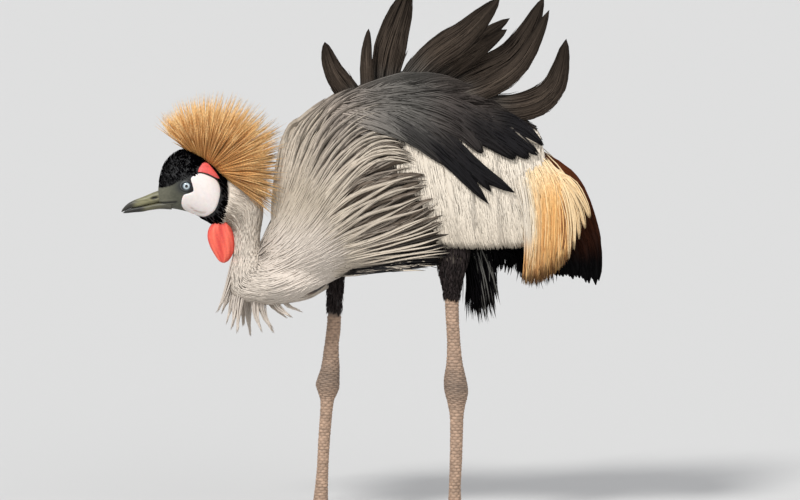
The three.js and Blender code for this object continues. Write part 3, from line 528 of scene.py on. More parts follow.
# The trunk under the feathers by X: middle, half height, half width.
CORE = track(
    [
        [-115, 421, 30, 24], [-103, 431, 89, 44], [-69.5, 445.5, 107, 53],
        [-22, 463, 112, 63], [32, 475, 114, 67],
        [92.5, 474, 113, 67], [153, 468.5, 101, 59], [207, 463, 76, 44],
        [248, 455, 43, 28], [268, 451, 12, 9],
    ]
)
# The neck as ribs [ax, az, bx, bz, half width] from the nape to the breast.
NECK = np.array(
    [
        [-178, 474, -190, 416, 15], [-161, 469, -190, 409, 18], [-141, 455, -183, 407, 18],
        [-132.5, 430, -175.5, 401, 18], [-137, 394, -173.5, 394, 18], [-136, 374, -173.5, 364, 20],
        [-135.5, 369, -180, 342, 25], [-134, 366, -174, 312, 31], [-132, 366, -140, 302, 36],
        [-122, 364, -104, 302, 40], [-94, 356, -68, 309, 38], [-66, 350, -42, 323, 28],
    ]
)
neck_steps = np.linalg.norm(np.diff((NECK[:, :2] + NECK[:, 2:4]) / 2, axis=0), axis=1)
neck_run = np.concatenate([[0], np.cumsum(neck_steps)])
NECK_LENGTH = neck_run[-1]
neck_rib = track(np.column_stack([neck_run, NECK]))


def neck_at(s, phi, lift):
    """A point of the neck: s is the distance down from the nape, and phi 0 is the throat side."""
    s, phi, lift = np.broadcast_arrays(s, phi, lift)
    ax, az, bx, bz, half = split(neck_rib(s))
    c, n = np.cos(phi), np.sin(phi)
    toward = vec((bx - ax) / 2, 0, (bz - az) / 2)
    reach = np.linalg.norm(toward, axis=-1)
    normal = unit(toward * (c / reach)[..., None] / reach[..., None] + vec(0, n / half, 0))
    point = vec((ax + bx) / 2, 0, (az + bz) / 2) + toward * c[..., None] + vec(0, half * n, 0)
    return point + normal * lift[..., None], normal


# The head across its length: top, bottom, half width.
head_rib = track(
    [
        [-274, 461, 438, 8], [-268, 484, 433, 14], [-260, 497, 431, 18], [-248, 506, 429, 21.5],
        [-232, 510, 425, 25], [-212, 503, 416, 26], [-194, 489, 407, 23],
        [-180, 469, 411, 16], [-172, 452, 428, 8],
    ]
)


def head_oval(x):
    """The head's middle height, half height and half width."""
    top, bottom, half = split(head_rib(x))
    return (top + bottom) / 2, (top - bottom) / 2, half


def head_at(x, z, side, lift):
    """A lifted point of the side of the head and its normal, from a place in the side view."""
    x, z, lift = np.broadcast_arrays(x, z, lift)

    def face(x, z):
        middle, tall, half = head_oval(x)
        r = np.clip((z - middle) / tall, -0.99, 0.99)
        return vec(x, side * half * np.sqrt(1 - r * r), z)

    dx = face(x + 0.5, z) - face(x - 0.5, z)
    dz = face(x, z + 0.5) - face(x, z - 0.5)
    n = unit(np.cross(dz, dx) * side)
    n *= np.sign(n[..., 1:2] * side + 1e-9)
    return face(x, z) + n * lift[..., None], n


EYE = {"x": -235, "z": 463, "y": 19.8, "radius": 7.6}
# Legs as ribs [ax, az, bx, bz, half width, middle y], from the body to the foot.
LEGS = {
    "left": [
        [96, 402, 148, 396, 17, -34], [101, 372, 143, 366, 17, -39], [105, 350, 137, 348, 15, -42],
        [110, 330, 133, 329, 12, -44], [112, 316, 131.2, 316, 9, -45], [113.5, 290, 130.8, 290, 7.6, -45.5],
        [115.5, 255, 132.8, 255, 7.4, -46], [114.5, 226, 136, 226, 8.6, -46],
        [111.5, 206, 141, 204, 10.4, -46],
        [111.5, 192, 143.4, 189, 11, -46], [113.5, 182, 142, 178, 10, -46], [117, 168, 139, 166, 7.8, -46],
        [119.6, 148, 137, 148, 7, -46], [119.4, 100, 135.6, 100, 6.5, -46],
        [118.2, 55, 133.6, 55, 6.7, -46],
        [116, 24, 136, 24, 9, -46], [113, 9, 139, 9, 12, -46], [115, 2, 137, 2, 10, -46],
    ],
    "right": [
        [-46, 396, 4, 402, 17, 34], [-48, 366, -8, 368, 17, 39], [-47, 340, -23, 340, 14, 43],
        [-46, 310, -27, 310, 11, 45], [-46.4, 281, -28.3, 281, 8.8, 46], [-47.6, 262, -29, 262, 7.6, 46],
        [-51, 236, -31.6, 236, 8.2, 46], [-55, 210, -30.4, 208, 10.4, 46], [-60, 194, -30.6, 190, 11, 46],
        [-62.4, 185, -31, 180, 10, 46], [-58.6, 172, -35, 170, 7.8, 46], [-56, 158, -39, 158, 7, 46],
        [-59, 110, -43.6, 110, 6.5, 46], [-61.4, 66, -46, 66, 6.7, 46], [-66, 26, -46.4, 26, 9, 46],
        [-70, 9, -44, 9, 12, 46], [-68, 2, -46, 2, 10, 46],
    ],
}
leg_rib = {name: track([[i, *rib] for i, rib in enumerate(ribs)]) for name, ribs in LEGS.items()}
FEET = {-1: (126, -46), 1: (-57, 46)}
# Each toe's name, angle from the middle one, and length.
TOES = [("inner", 32, 60), ("middle", 0, 74), ("outer", -32, 64), ("hind", 168, 24)]
CLAW_LENGTH = 13
THIGH_END = {"left": 316, "right": 281}


def leg_at(name, k, phi, lift=0.0):
    """A point of a leg: k counts its ribs down from the body, and phi 0 faces back."""
    k, phi = np.broadcast_arrays(k, phi)
    ax, az, bx, bz, half, y = split(leg_rib[name](k))
    c, s = np.cos(phi), np.sin(phi)
    ux, uz = (bx - ax) / 2, (bz - az) / 2
    reach = np.hypot(ux, uz)
    grow = 1 + lift / reach
    point = vec((ax + bx) / 2 + ux * c * grow, y + (half + lift) * s, (az + bz) / 2 + uz * c * grow)
    return point, unit(vec(c / reach, s / half, 0 * c))


def leg_height(name, keys):
    return leg_at(name, keys, 0 * keys + math.pi / 2)[0][:, 2]


def toe_rings(side, angle, reach, wide, high, middle, sides, floor):
    """Rings that run out from a foot over the floor, at an angle from the middle toe."""
    turn = circle(sides)
    spread = wide * np.sin(turn)
    cos, sin = heading(math.radians(180 + side * angle))
    x, y = FEET[side]
    height = np.maximum(middle + high * np.cos(turn), floor)
    return vec(x + cos * reach - sin * spread, y + sin * reach + cos * spread, height)


wing_front = level([376, 124], [397, 112], [433, 97], [486, 76], [522, 50], [545, 34])
# Where the black behind the cheek gives way to the grey of the nape, by height.
band_edge = level([400, -197], [406, -194.5], [427, -186.5], [445, -180], [469, -180.5], [486, -186])
# Height of the lower edge of the black cap, by X.
cap_edge = level([-276, 458], [-258, 461.5], [-245, 468.5], [-231, 474.5], [-225, 482])

# Colours, as they look on a screen

NECK_GREY = srgb(228, 215, 198)
THROAT = srgb(120, 107, 92)
BREAST_PALE = srgb(213, 201, 188)
BREAST_TAUPE = srgb(184, 171, 153)
HACKLE_PALE = srgb(204, 191, 173)
HACKLE_GREY = srgb(160, 149, 136)
# Brown painted into the gaps between the hackles and on the skin under the plumage: painted shade.
GAP_SHADE_BROWN = srgb(100, 88, 76)
SLATE = srgb(104, 102, 97)
PLUME = srgb(56, 48, 41)
BLACK = srgb(5, 4, 5)
WHITE = srgb(232, 220, 202)
# The white in shade: painted shade low on the wing's white, and also the pale streak's own colour.
WHITE_SHADE = srgb(222, 209, 190)
CREAM = srgb(248, 224, 182)
GOLD = srgb(242, 188, 116)
AMBER = srgb(218, 150, 82)
CHESTNUT = srgb(92, 48, 26)
FACE = srgb(76, 76, 62)
# The face's painted shade round the eye.
FACE_EYE_SHADE = srgb(42, 44, 42)
LEG = srgb(170, 141, 118)
HOCK = srgb(134, 113, 96)
THIGH = srgb(44, 38, 37)
# The back from the shoulder to the rump, by X.
BACK_TONES = {
    -90: (186, 172, 154), -30: (158, 146, 134), 20: (118, 112, 105),
    70: (90, 87, 82), 120: (76, 69, 64), 190: (52, 46, 42),
}
back_colour = track([[x, *srgb(*tone)] for x, tone in BACK_TONES.items()])

# Skin

SKIN_VOXEL = 2.5


def skin_parts():
    """Closed lofts of the trunk, neck, head, legs, wings and toes, each a list of rings."""
    turn = circle(48)
    x = np.linspace(-115, 268, 90)[:, None]
    middle, high, wide = split(CORE(x))
    yield vec(x, wide * np.sin(turn), middle + high * np.cos(turn))
    yield neck_at(np.linspace(0, NECK_LENGTH, 70)[:, None], turn, -0.6)[0]
    x = np.linspace(-274, -172, 64)[:, None]
    middle, tall, half = head_oval(x)
    yield vec(x, half * np.sin(turn), middle + tall * np.cos(turn))
    for name in SIDES:
        yield leg_at(name, np.linspace(0, len(LEGS[name]) - 1, 150)[:, None], turn[::2])[0]
    for side in SIDES.values():
        rings = []
        for z in np.linspace(386, 520, 24):
            x = np.linspace(wing_front(z) + 6, 236, 20)
            rings.append(np.concatenate([over(x, z, side, 1.0)[0], over(x[::-1], z, side, -9.0)[0]]))
        yield np.array(rings)
    for side in SIDES.values():
        for toe, angle, length in TOES:
            yield toe_of(side, toe, angle, length)


def toe_of(side, toe, angle, length):
    """A toe with raised knuckles: distance out, middle height, half height and half width at each."""
    joints = [
        [4, 6.4, 6.6, 6.2], [0.34 * length, 4.6, 4.9, 5], [0.42 * length, 5.2, 5.4, 5.6],
        [0.66 * length, 4.1, 4.4, 4.6], [0.72 * length, 4.7, 4.9, 5.1], [length, 3.4, 3.8, 4.1],
    ]
    if toe == "hind":
        joints = [[d, 0.82 * z, 0.82 * high, 0.82 * wide] for d, z, high, wide in joints[::5]]
    reach = np.linspace(4, length, 40)[:, None]
    middle, high, wide = split(track(joints)(reach))
    return toe_rings(side, angle, reach, wide, high, middle, 20, 0.2)


def make_skin():
    """One fused skin, refined where it is bare, shaped and painted."""
    skin = make_mesh("skin", *joined(loft_mesh(rings) for rings in skin_parts()))
    remesh = skin.modifiers.new("fuse", "REMESH")
    remesh.mode = "VOXEL"
    remesh.voxel_size = SKIN_VOXEL * MM
    smooth = skin.modifiers.new("soften", "SMOOTH")
    smooth.factor = 0.5
    smooth.iterations = 5
    skin.data = bpy.data.meshes.new_from_object(skin.evaluated_get(bpy.context.evaluated_depsgraph_get()))
    skin.modifiers.clear()
    refine(skin.data)
    finish_skin(skin.data)
    return skin


def refine(mesh):
    """Splits the faces of the bare face, the hocks and the feet, which carry folds."""
    work = bmesh.new()
    work.from_mesh(mesh)

    def bare(p):
        return (p.x < -196 * MM and p.z > 405 * MM) or p.z < 285 * MM

    edges = [e for e in work.edges if bare(e.verts[0].co) and bare(e.verts[1].co)]
    bmesh.ops.subdivide_edges(work, edges=edges, cuts=1, use_grid_fill=True, smooth=0.4)
    work.to_mesh(mesh)
    work.free()
    mesh.shade_smooth()


def vectors(values, key):
    flat = np.empty(len(values) * 3, np.float32)
    values.foreach_get(key, flat)
    return flat.reshape(-1, 3).astype(float)


def finish_skin(mesh):
    """Moves the fine mesh into lids, creases and hock wrinkles, and paints its markings."""
    p = vectors(mesh.vertices, "co") / MM
    p += vectors(mesh.vertex_normals, "vector") * skin_relief(p)[:, None]
    p[:, 2] = np.maximum(p[:, 2], 0.0)
    mesh.vertices.foreach_set("co", (p * MM).astype(np.float32).ravel())
    mesh.update()
    set_tint(mesh, skin_tint(p))


def eye_distance(x, z):
    """Distance from the eye's middle in the side view, in an oval a little longer than high."""
    dx, dz = (x - EYE["x"]) / 1.1, (z - EYE["z"]) / 0.92
    slant = 0.12
    return np.hypot(dx + slant * dz, dz - slant * dx)


def gape(x):
    return 439.2 + 0.10 * (x + 262)


def skin_relief(p):
    """How far the skin stands out: the lids, the gape with its folds, and the wrinkles of the hocks."""
    x, y, z = p.T
    head = (x < -190) & (z > 405)
    d = eye_distance(x, z)
    lid = 1.7 * bell(d - 7.0, 1.5) - 2.6 * (1 - ease((d - 3.2) / 2.6))
    lid += 0.55 * bell(d - 10.6, 1.0) - 0.5 * bell(d - 9.0, 0.8)
    mouth = ease((-246 - x) / 5) * (0.7 * bell(z - gape(x) - 2.6, 1.3) - 1.5 * bell(z - gape(x), 1.1))
    mouth -= 0.7 * bell(z - (433.5 + 0.35 * (x + 262)), 0.9) * ease((-243 - x) / 7)
    hock = sum(bell(z - middle, 26) * (np.abs(x - px) < 40) for middle, px in ((197, 127), (193, -45)))
    rings = np.sin(z * TURN / 4.3 + 2.8 * mottle(x / 6 + 9, y / 6 + 9, 3))
    return head * ((np.abs(y) > 8) * lid + mouth) + 0.55 * hock * rings * (z < 285)


def skin_tint(p):
    x, y, z = p.T
    # The skin under the hackles takes the brown painted shade of their gaps, and under the back it is painted
    # darker than the back: painted shade beneath the feathers.
    tint = mix(mix(NECK_GREY, HACKLE_PALE, (x + 130) / 60), GAP_SHADE_BROWN, ease((x + 88) / 70))
    tint = mix(tint, 0.7 * back_colour(x), ease((z - 530) / 30) * ease((x + 110) / 40))
    tint = mix(tint, BLACK, ease((372 - z) / 18) * ease((x + 40) / 30))
    wing = ease((x - wing_front(z)) / 6) * ease((z - 385) / 8) * ease((540 - z) / 12)
    tint = mix(tint, WHITE, wing * (np.abs(y) > 18))
    tint = mix(tint, BLACK, ease((x - 236) / 8))
    tint = mix(tint, THROAT, ease((-178 - x) / 12) * ease((z - 372) / 40) * (x > -215))
    thigh = (z < 352) & (np.abs(y) > 22) & ((np.abs(x - 124) < 34) | (np.abs(x + 38) < 42))
    tint = np.where((thigh | (z < 200))[:, None], leg_tint(x, y, z), tint)
    return np.where(((x < -176) & (z > 402))[:, None], head_tint(x, z), tint)


def leg_tint(x, y, z):
    end = np.where(y < 0, THIGH_END["left"], THIGH_END["right"]) - 4
    tint = shade(mix(LEG, HOCK, bell(z - 196, 26)), 0.5 + 0.3 * mottle(z / 2.1, y / 5 + x / 5, 11))
    tint = mix(tint, shade(HOCK, 0.55), ease((40 - z) / 34))
    return mix(tint, THIGH, ease((z - end) / 10))


def head_tint(x, z):
    # Painted shade darkens the face round the eye, and painted light brightens it towards the bill, where it
    # meets the bill's base colour.
    tint = mix(FACE, FACE_EYE_SHADE, bell(eye_distance(x, z) - 8, 6))
    tint = mix(tint, srgb(98, 96, 80), ease((-250 - x) / 14) * 0.9)
    # A black line painted along the gape: painted shade in its crease.
    tint = mix(tint, BLACK, bell(z - gape(x), 1.1) * ease((-246 - x) / 5))
    under = ease((430.5 - 0.22 * (x + 246) - z) / 3) * ease((x + 262) / 18)
    tint = mix(tint, BLACK, np.maximum(under, ease((x + 236) / 5)))
    tint = mix(tint, NECK_GREY, ease((x - band_edge(z)) / 2))
    return mix(tint, shade(BLACK, 0.5), ease((z - cap_edge(x)) / 1.6))


# Coats

STATIONS = 6
LONG_STATIONS = 7
LOCKS = 46
TIP_LIFT = 2.0


def hackle_layer(name, side, seed, count, f_span, s_span, reach, lifts, width, colour, tight, stations):
    """Long locks of the breast and flank: neighbours draw together into one point as they run out."""
    rng = random_of(seed)
    f = rng.uniform(*f_span, count)
    s0 = lerp(*s_span, rng.random(count))
    s1 = np.minimum(s0 + reach * rng.uniform(0.75, 1.2, count), 1.0)
    t = line(stations)
    s = lerp(s0[:, None], s1[:, None], t)
    number = np.floor(f * LOCKS)
    centre = (number + 0.5) / LOCKS
    lot = random_of(seed + 50).random((LOCKS + 1, 4))[np.clip(number, 0, LOCKS).astype(int)]
    end = 0.9 + 0.1 * lot[:, :1]
    draw = ease((s - 0.26) / 0.42)
    spread = lerp(1.0, tight, draw) * lerp(1.0, 0.12, ease((s - end + 0.22) / 0.22))
    sway = (lot[:, 1:2] - 0.5) * 0.03 * draw + 0.008 * np.sin(9 * s + 6.3 * lot[:, 2:3]) * draw
    place = stream(centre[:, None] + (f - centre)[:, None] * spread + sway, s * (0.94 + 0.08 * lot[:, :1]))
    dome = 1.6 * (1 - (2 * (f - centre) * LOCKS) ** 2)[:, None] * draw
    high = 2.4 * lot[:, 3:4] * draw + 1.2 * rng.random(count)[:, None]
    lift = lerp(lifts[0], lifts[1] + high + dome, ease(t * 1.3)) + TIP_LIFT * ease((s - 0.6) / 0.3)
    points, normal = over(*split(place), side, lift)
    normal = leaned(points, normal, vary(rng, count, -0.35, 0.35)[..., None])
    half = widths(rng, count, width, (0.7, 1.3), t, [0, 0.25, 0.6, 0.85, 1], [0.55, 1, 0.9, 0.5, 0.12])
    tint = colour(f, s, t, lot, rng)
    return strands(name, Run(points, normal, half), 0.32 * half + 0.15, tint, body_uv(points[:, 0]))


# The height under which the flank is black, by X.
flank_edge = level(
    [-100, 270], [-70, 300], [-45, 325], [-27, 346], [0, 360], [50, 370], [105, 378], [120, 382]
)


def over_tint(f, s, t, lot, rng):
    """Pale hackles: taupe up the front, greyer over the back, and dark along the lower edge of the flank."""
    count = len(f)
    x, z = split(stream(f[:, None], s))
    tint = mix(BREAST_PALE, BREAST_TAUPE, ease((z - 375) / 70))
    tint = mix(tint, HACKLE_PALE, ease((s - 0.1) / 0.35))
    tint = mix(tint, back_colour(x), np.clip((0.46 - f) / 0.3, 0, 1)[:, None] * ease((x + 100) / 60))
    tone = lerp(0.98, 0.86 + 0.2 * lot[:, 1:2], ease((s - 0.25) / 0.4))
    # Strands darken towards the edges of their lock: painted shade where the locks part.
    edge = np.abs(f * LOCKS % 1 - 0.5)[:, None] * 2
    tone = tone * (1 - 0.26 * edge**2 * ease((s - 0.28) / 0.3)) * vary(rng, count, 0.9, 1.06)
    under = ease((flank_edge(x) - z) / 5) * (rng.random(count) > 0.16)[:, None]
    return mix(shade(tint, tone * lerp(0.86, 1.0, ease(t / 0.3))), shade(BLACK, 1.6), under)


def gap_shade_tint(f, s, t, lot, rng):
    """The bed that shows between the hackles, painted as the shade in those gaps: brown on the flank, black
    towards the belly.
    """
    x, _ = split(stream(f[:, None], s))
    dark = mix(GAP_SHADE_BROWN, shade(BLACK, 1.6), ease((f[:, None] - 0.66) / 0.2))
    tint = mix(shade(BREAST_TAUPE, 0.86), dark, ease((s - 0.24) / 0.24))
    tint = mix(tint, 0.72 * back_colour(x), 0.95 * np.clip((0.48 - f) / 0.24, 0, 1)[:, None])
    return mix(shade(tint, vary(rng, len(f), 0.7, 1.2)), BREAST_TAUPE, ease((-45 - x) / 15))


def middle_tint(f, s, t, lot, rng):
    """Grey feathers half hidden between the pale locks, browned by the painted shade of the gaps."""
    tint = mix(HACKLE_GREY, GAP_SHADE_BROWN, vary(rng, len(f), 0.1, 0.75))
    tint = mix(tint, shade(BLACK, 2.0), ease((f[:, None] - 0.7) / 0.12) * ease((s - 0.4) / 0.2))
    return shade(tint, lerp(0.8, 1.0, ease(t / 0.3)))


# The layers of hackles: count, spans of f and s, reach, lifts at root and tip, width, tint, spread kept and
# stations.
HACKLES = {
    "bed": (1000, (0.0, 1.0), (0.05, 0.8), 0.3, (-4, -0.6), 7.5, gap_shade_tint, 0.9, STATIONS),
    "breast": (2000, (0.0, 0.96), (0.0, 0.28), 0.28, (-3.5, 2.0), 2.7, over_tint, 0.62, STATIONS),
    "back": (1600, (0.0, 0.46), (0.22, 0.74), 0.34, (-3.0, 2.4), 2.6, over_tint, 0.6, LONG_STATIONS),
    "flank": (1700, (0.38, 0.99), (0.18, 0.6), 0.46, (-3.0, 2.8), 2.4, over_tint, 0.34, LONG_STATIONS),
    "middle": (700, (0.34, 0.9), (0.3, 0.8), 0.3, (-3.0, 0.6), 2.8, middle_tint, 0.8, STATIONS),
}


def make_hackles(side, name, material):
    """The hackles of one side: a dark bed that paints the shade of the gaps, the close breast, and the parted
    locks of the flank.
    """
    for number, (layer, row) in enumerate(HACKLES.items()):
        made = hackle_layer(f"hackles_{layer}_{name}", side, 21 + number, *row)
        own(made, material, "body_feathers", "torso", *(["neck_lower"] if layer == "flank" else []))


def make_neck(material):
    """Short soft feathers down the neck and over its low bend."""
    rng = random_of(41)
    count = 4400
    s0 = rng.uniform(-2, NECK_LENGTH - 60, count)
    phi = rng.uniform(0, TURN, count)
    length = lerp(15, 36, ease(s0 / 120)) * rng.uniform(0.8, 1.25, count)
    t = line(5)
    s = s0[:, None] + length[:, None] * t
    drift = vary(rng, count, -0.012, 0.012) * t
    lift = lerp(-0.9, 0.2 + 0.25 * rng.random(count)[:, None], ease(t * 1.2))
    points, normal = neck_at(np.clip(s, 0, NECK_LENGTH), phi[:, None] + drift, lift)
    points += np.minimum(s, 0)[..., None] * [-0.5, 0, -0.8]
    width = lerp(1.3, 2.4, ease(s0 / 120))[:, None]
    half = widths(rng, count, width, (0.7, 1.3), t, [0, 0.3, 0.7, 1], [0.5, 1, 0.8, 0.1])
    throat = np.clip(np.cos(phi) + 0.15, 0, 1) ** 0.7 * ease((57 - s0) / 42)
    tint = mix(mix(NECK_GREY, BREAST_PALE, s0 / 160), THROAT, throat)
    streak = rng.uniform(0.95, 1.02, count) * (0.98 + 0.04 * mottle(phi * 3, s0 / 60, 5))
    tint = shade(tint[:, None], streak[:, None] * (0.94 + 0.06 * ease(t / 0.4)))
    uv = pair(s0 / NECK_LENGTH, phi / TURN)
    nodes = ("neck_upper", "neck_lower")
    coat("neck_down", points, normal, half, (0.08, 0.05), tint, uv, material, "neck_feathers", *nodes)


def side_width():
    """Half width of the low neck for places of the side view, as a lookup over whole millimetres."""
    s, phi = np.meshgrid(np.linspace(0, NECK_LENGTH, 700), np.linspace(0, math.pi, 260))
    x, y, z = neck_at(s, phi, 0)[0].reshape(-1, 3).T
    grid = np.zeros((220, 220))
    i, k = (np.clip(v.astype(int), 0, 219) for v in (x + 220, z - 270))
    np.maximum.at(grid, (i, k), y)
    return grid


SIDE_WIDTH = side_width()


def breast_at(x, z, side, lift):
    """The side of the breast and low neck taken as one surface."""
    i, k = np.clip(x + 220, 0, 218), np.clip(z - 270, 0, 218)
    a, b = i.astype(int), k.astype(int)
    low, high = (lerp(SIDE_WIDTH[a, c], SIDE_WIDTH[a + 1, c], i - a) for c in (b, b + 1))
    neck = lerp(low, high, k - b)
    body = np.abs(over(x, z, side, 0)[0][..., 1]) * ease((x + 132) / 10)
    middle, high, _ = split(plumage(x))
    body = body * ease((high + 4 - np.abs(z - middle)) / 12)
    return vec(x, side * (np.logaddexp(neck / 5, body / 5) * 5 + lift), z)


flow_roots = track([[0, -134, 374], [0.25, -140, 360], [0.5, -152, 346], [0.75, -152, 328], [1, -132, 306]])
flow_leave = level([0, 78], [0.25, 46], [0.5, 14], [0.75, -8], [1, -8])


def make_breast(side, name, material):
    """Long pale locks that sweep from the bend of the neck over the breast into the flank."""
    rng = random_of(47)
    count = 1600
    g = rng.random(count)
    drift = rng.random(count)
    f = lerp(0.16, 1.0, g) + rng.normal(0, 0.012, count)
    root = flow_roots(g) + rng.normal(0, 5, (count, 2))
    root = lerp(root, stream(f, 0.12), (0.85 * drift)[:, None])
    s1 = rng.uniform(0.28, 0.52, count) * lerp(0.7, 1.0, drift)
    end = stream(f, s1)
    reach = 0.34 * np.linalg.norm(end - root, axis=-1, keepdims=True)
    leave = root + reach * heading(np.radians(flow_leave(g)))
    arrive = end - reach * unit(end - stream(f, s1 - 0.05))
    t = line(LONG_STATIONS)
    x, z = split(bezier(*(stop[:, None] for stop in (root, leave, arrive, end)), t[..., None]))
    lift = lerp(-2.5, 2.4 + 2.0 * rng.random(count)[:, None], ease(t * 1.6))
    points = breast_at(x, z, side, lift)
    half = widths(rng, count, 2.5, (0.7, 1.3), t, [0, 0.3, 0.7, 0.9, 1], [0.6, 1, 0.8, 0.45, 0.1])
    tint = mix(BREAST_PALE, BREAST_TAUPE, ease((z - 380) / 70))
    tint = shade(tint, vary(rng, count, 0.95, 1.03) * (0.93 + 0.07 * ease(t / 0.3)))
    normal = unit(vec(-0.25, side, 0.12))
    nodes = ("neck_lower", "torso")
    uv = pair(g, drift)
    coat(f"breast_{name}", points, normal, half, (0.28, 0.15), tint, uv, material, "neck_feathers", *nodes)


# Locks that hang free from the bend of the neck: [root x, z, tip x, z, y].
HANGING = [
    [-170, 345, -196, 289, -14], [-168, 340, -190, 284, 10], [-166, 332, -183, 272, -8],
    [-162, 326, -176, 266, -14], [-158, 322, -168, 261, -16], [-156, 322, -160, 266, 14],
    [-150, 318, -150, 254, 4], [-144, 318, -134, 262, -14], [-138, 318, -117, 261, -12],
    [-130, 318, -100, 279, 8], [-122, 316, -92, 283, -16], [-112, 314, -78, 290, -12],
]


def make_hanging(material):
    """Wisps at the bend of the neck, each a bundle of fine locks drawn to one pale point."""
    rng = random_of(45)
    x0, z0, x1, z1, y = np.repeat(np.array(HANGING, float), 36, axis=0).T
    count = len(x0)
    jitter = rng.normal(0, 1, (count, 3))
    part = rng.normal(0, 1, (count, 2))
    short = rng.uniform(0.8, 1.0, count)
    start = vec(x0, y * 0.6, z0 + 14) + jitter * [3.4, 4, 4]
    middle = vec(lerp(x0, x1, 0.4) - 3, y, lerp(z0, z1, 0.5)) + 1.5 * jitter
    end = vec(lerp(x0, x1, short) + 0.7 * part[:, 0], y * 1.1 + part[:, 1], lerp(z0, z1, short))
    t = line(8)
    points = through(np.stack([start, middle, end], 1), t)
    normal = unit(vec(0.15, np.where(y < 0, -1, 1), 0.1))[:, None]
    half = widths(rng, count, 1.9, (0.6, 1.2), t, [0, 0.3, 0.7, 1], [0.8, 1, 0.7, 0.1])
    tint = shade(BREAST_PALE, vary(rng, count, 0.88, 1.05) * lerp(0.9, 1.1, t))
    uv = pair(x0 / 120 + jitter[:, 0] * 0.02, jitter[:, 1])
    coat("neck_wisps", points, normal, half, (0.35, 0.15), tint, uv, material, "neck_feathers", "neck_lower")


# The rear end of the white wing, where the back feathers bend down.
WING_END = 236


def make_back(side, name, material):
    """Slate plumes from the shoulder to the rump, drawn into streaked locks."""
    rng = random_of(51)
    bunches, per = 165, 12
    count = bunches * per
    u = np.repeat(rng.random(bunches), per)
    share = np.repeat(rng.uniform(0.0, 1.0, bunches) ** 0.8, per)
    v = rng.uniform(-1, 1, count)
    tone = np.repeat(rng.random(bunches), per)
    x0 = lerp(-74, 172, u)
    middle, high, _ = split(plumage(x0))
    z0 = middle + high * np.cos(lerp(0.02, lerp(0.7, 0.9, u), share))
    length = np.repeat(rng.uniform(90, 150, bunches), per) * lerp(1, 0.66, u) * rng.uniform(0.7, 1.0, count)
    t = line(STATIONS)
    slope = lerp(lerp(22, 8, u), lerp(-2, -26, u), share)
    curl = np.repeat(rng.uniform(-16, 2, bunches), per)
    turn = np.radians(slope[:, None] + curl[:, None] * t)
    step = length[:, None] / (STATIONS - 1)
    pitch = (v * 5.5)[:, None] * np.interp(t, [0, 0.35, 0.75, 1], [1, 1, 0.5, 0.05])
    dx, dz = (np.cumsum(part, 1) - part[:, :1] for part in (np.cos(turn) * step, np.sin(turn) * step))
    x = x0[:, None] + dx - np.sin(turn) * pitch
    z = z0[:, None] + dz + np.cos(turn) * pitch
    x = WING_END - 8 * np.logaddexp(0, (WING_END - x) / 8)
    bunch_lift = np.repeat(rng.uniform(0, 4.5, bunches), per)[:, None]
    lift = lerp(-3.5, 2.5 + bunch_lift + 1.2 * (1 - v[:, None] ** 2), ease(t * 1.2))
    points, normal = over(x, z, side, lift)
    half = widths(rng, count, 2.7, (0.7, 1.4), t, [0, 0.25, 0.65, 0.88, 1], [0.55, 1, 0.85, 0.45, 0.1])
    calm = lerp(0.4, 1.0, ease((x0 + 60) / 90))[:, None]
    streak = 1 + calm * (0.62 * tone[:, None] - 0.34) * vary(rng, count, 0.8, 1.2)
    tint = shade(back_colour(x), streak * (0.8 + 0.2 * ease(t / 0.3)))
    uv = body_uv(points[:, 0])
    coat(f"back_{name}", points, normal, half, (0.32, 0.2), tint, uv, material, "body_feathers", "torso")


def make_rump(skin, material):
    """Black feathers that lie over the rump, from between the two halves of the back to the tail."""
    rng = random_of(57)
    count = 640
    tree = BVHTree.FromObject(skin, bpy.context.evaluated_depsgraph_get())
    start = lerp(112, 6, rng.random(count))
    t = line(5)
    angle = np.radians(start[:, None] - vary(rng, count, 20, 30) * t)
    out = vec(np.cos(angle), 0, np.sin(angle))
    source = vec(150, vary(rng, count, -30, 30) + 0 * t, 450) + 320 * out
    rays = zip((source * MM).reshape(-1, 3), -out.reshape(-1, 3))
    hits = [tree.ray_cast(Vector(start), Vector(ray)) for start, ray in rays]
    points, normal = (np.array([hit[k] or (0, 0, 0) for hit in hits]).reshape(out.shape) for k in (0, 1))
    points = points / MM
    whole = np.abs(normal).sum(-1).min(1) > 0
    whole &= np.linalg.norm(np.diff(points, axis=1), axis=-1).max(1) < 40
    points, normal = points[whole], normal[whole]
    count = len(points)
    points = points + normal * lerp(-1.5, 1.2 + 1.6 * rng.random(count)[:, None], ease(t * 1.6))[..., None]
    half = widths(rng, count, 3.4, (0.7, 1.3), t, [0, 0.3, 0.8, 1], [0.6, 1, 0.7, 0.1])
    x = points[..., 0]
    tint = mix(0.8 * back_colour(x), shade(BLACK, 1.6), ease((x - 130) / 60))
    tint = shade(tint, vary(rng, count, 0.7, 1.4))
    uv = body_uv(points[:, 0])
    coat("rump", points, normal, half, (0.3, 0.2), tint, uv, material, "body_feathers", "torso")


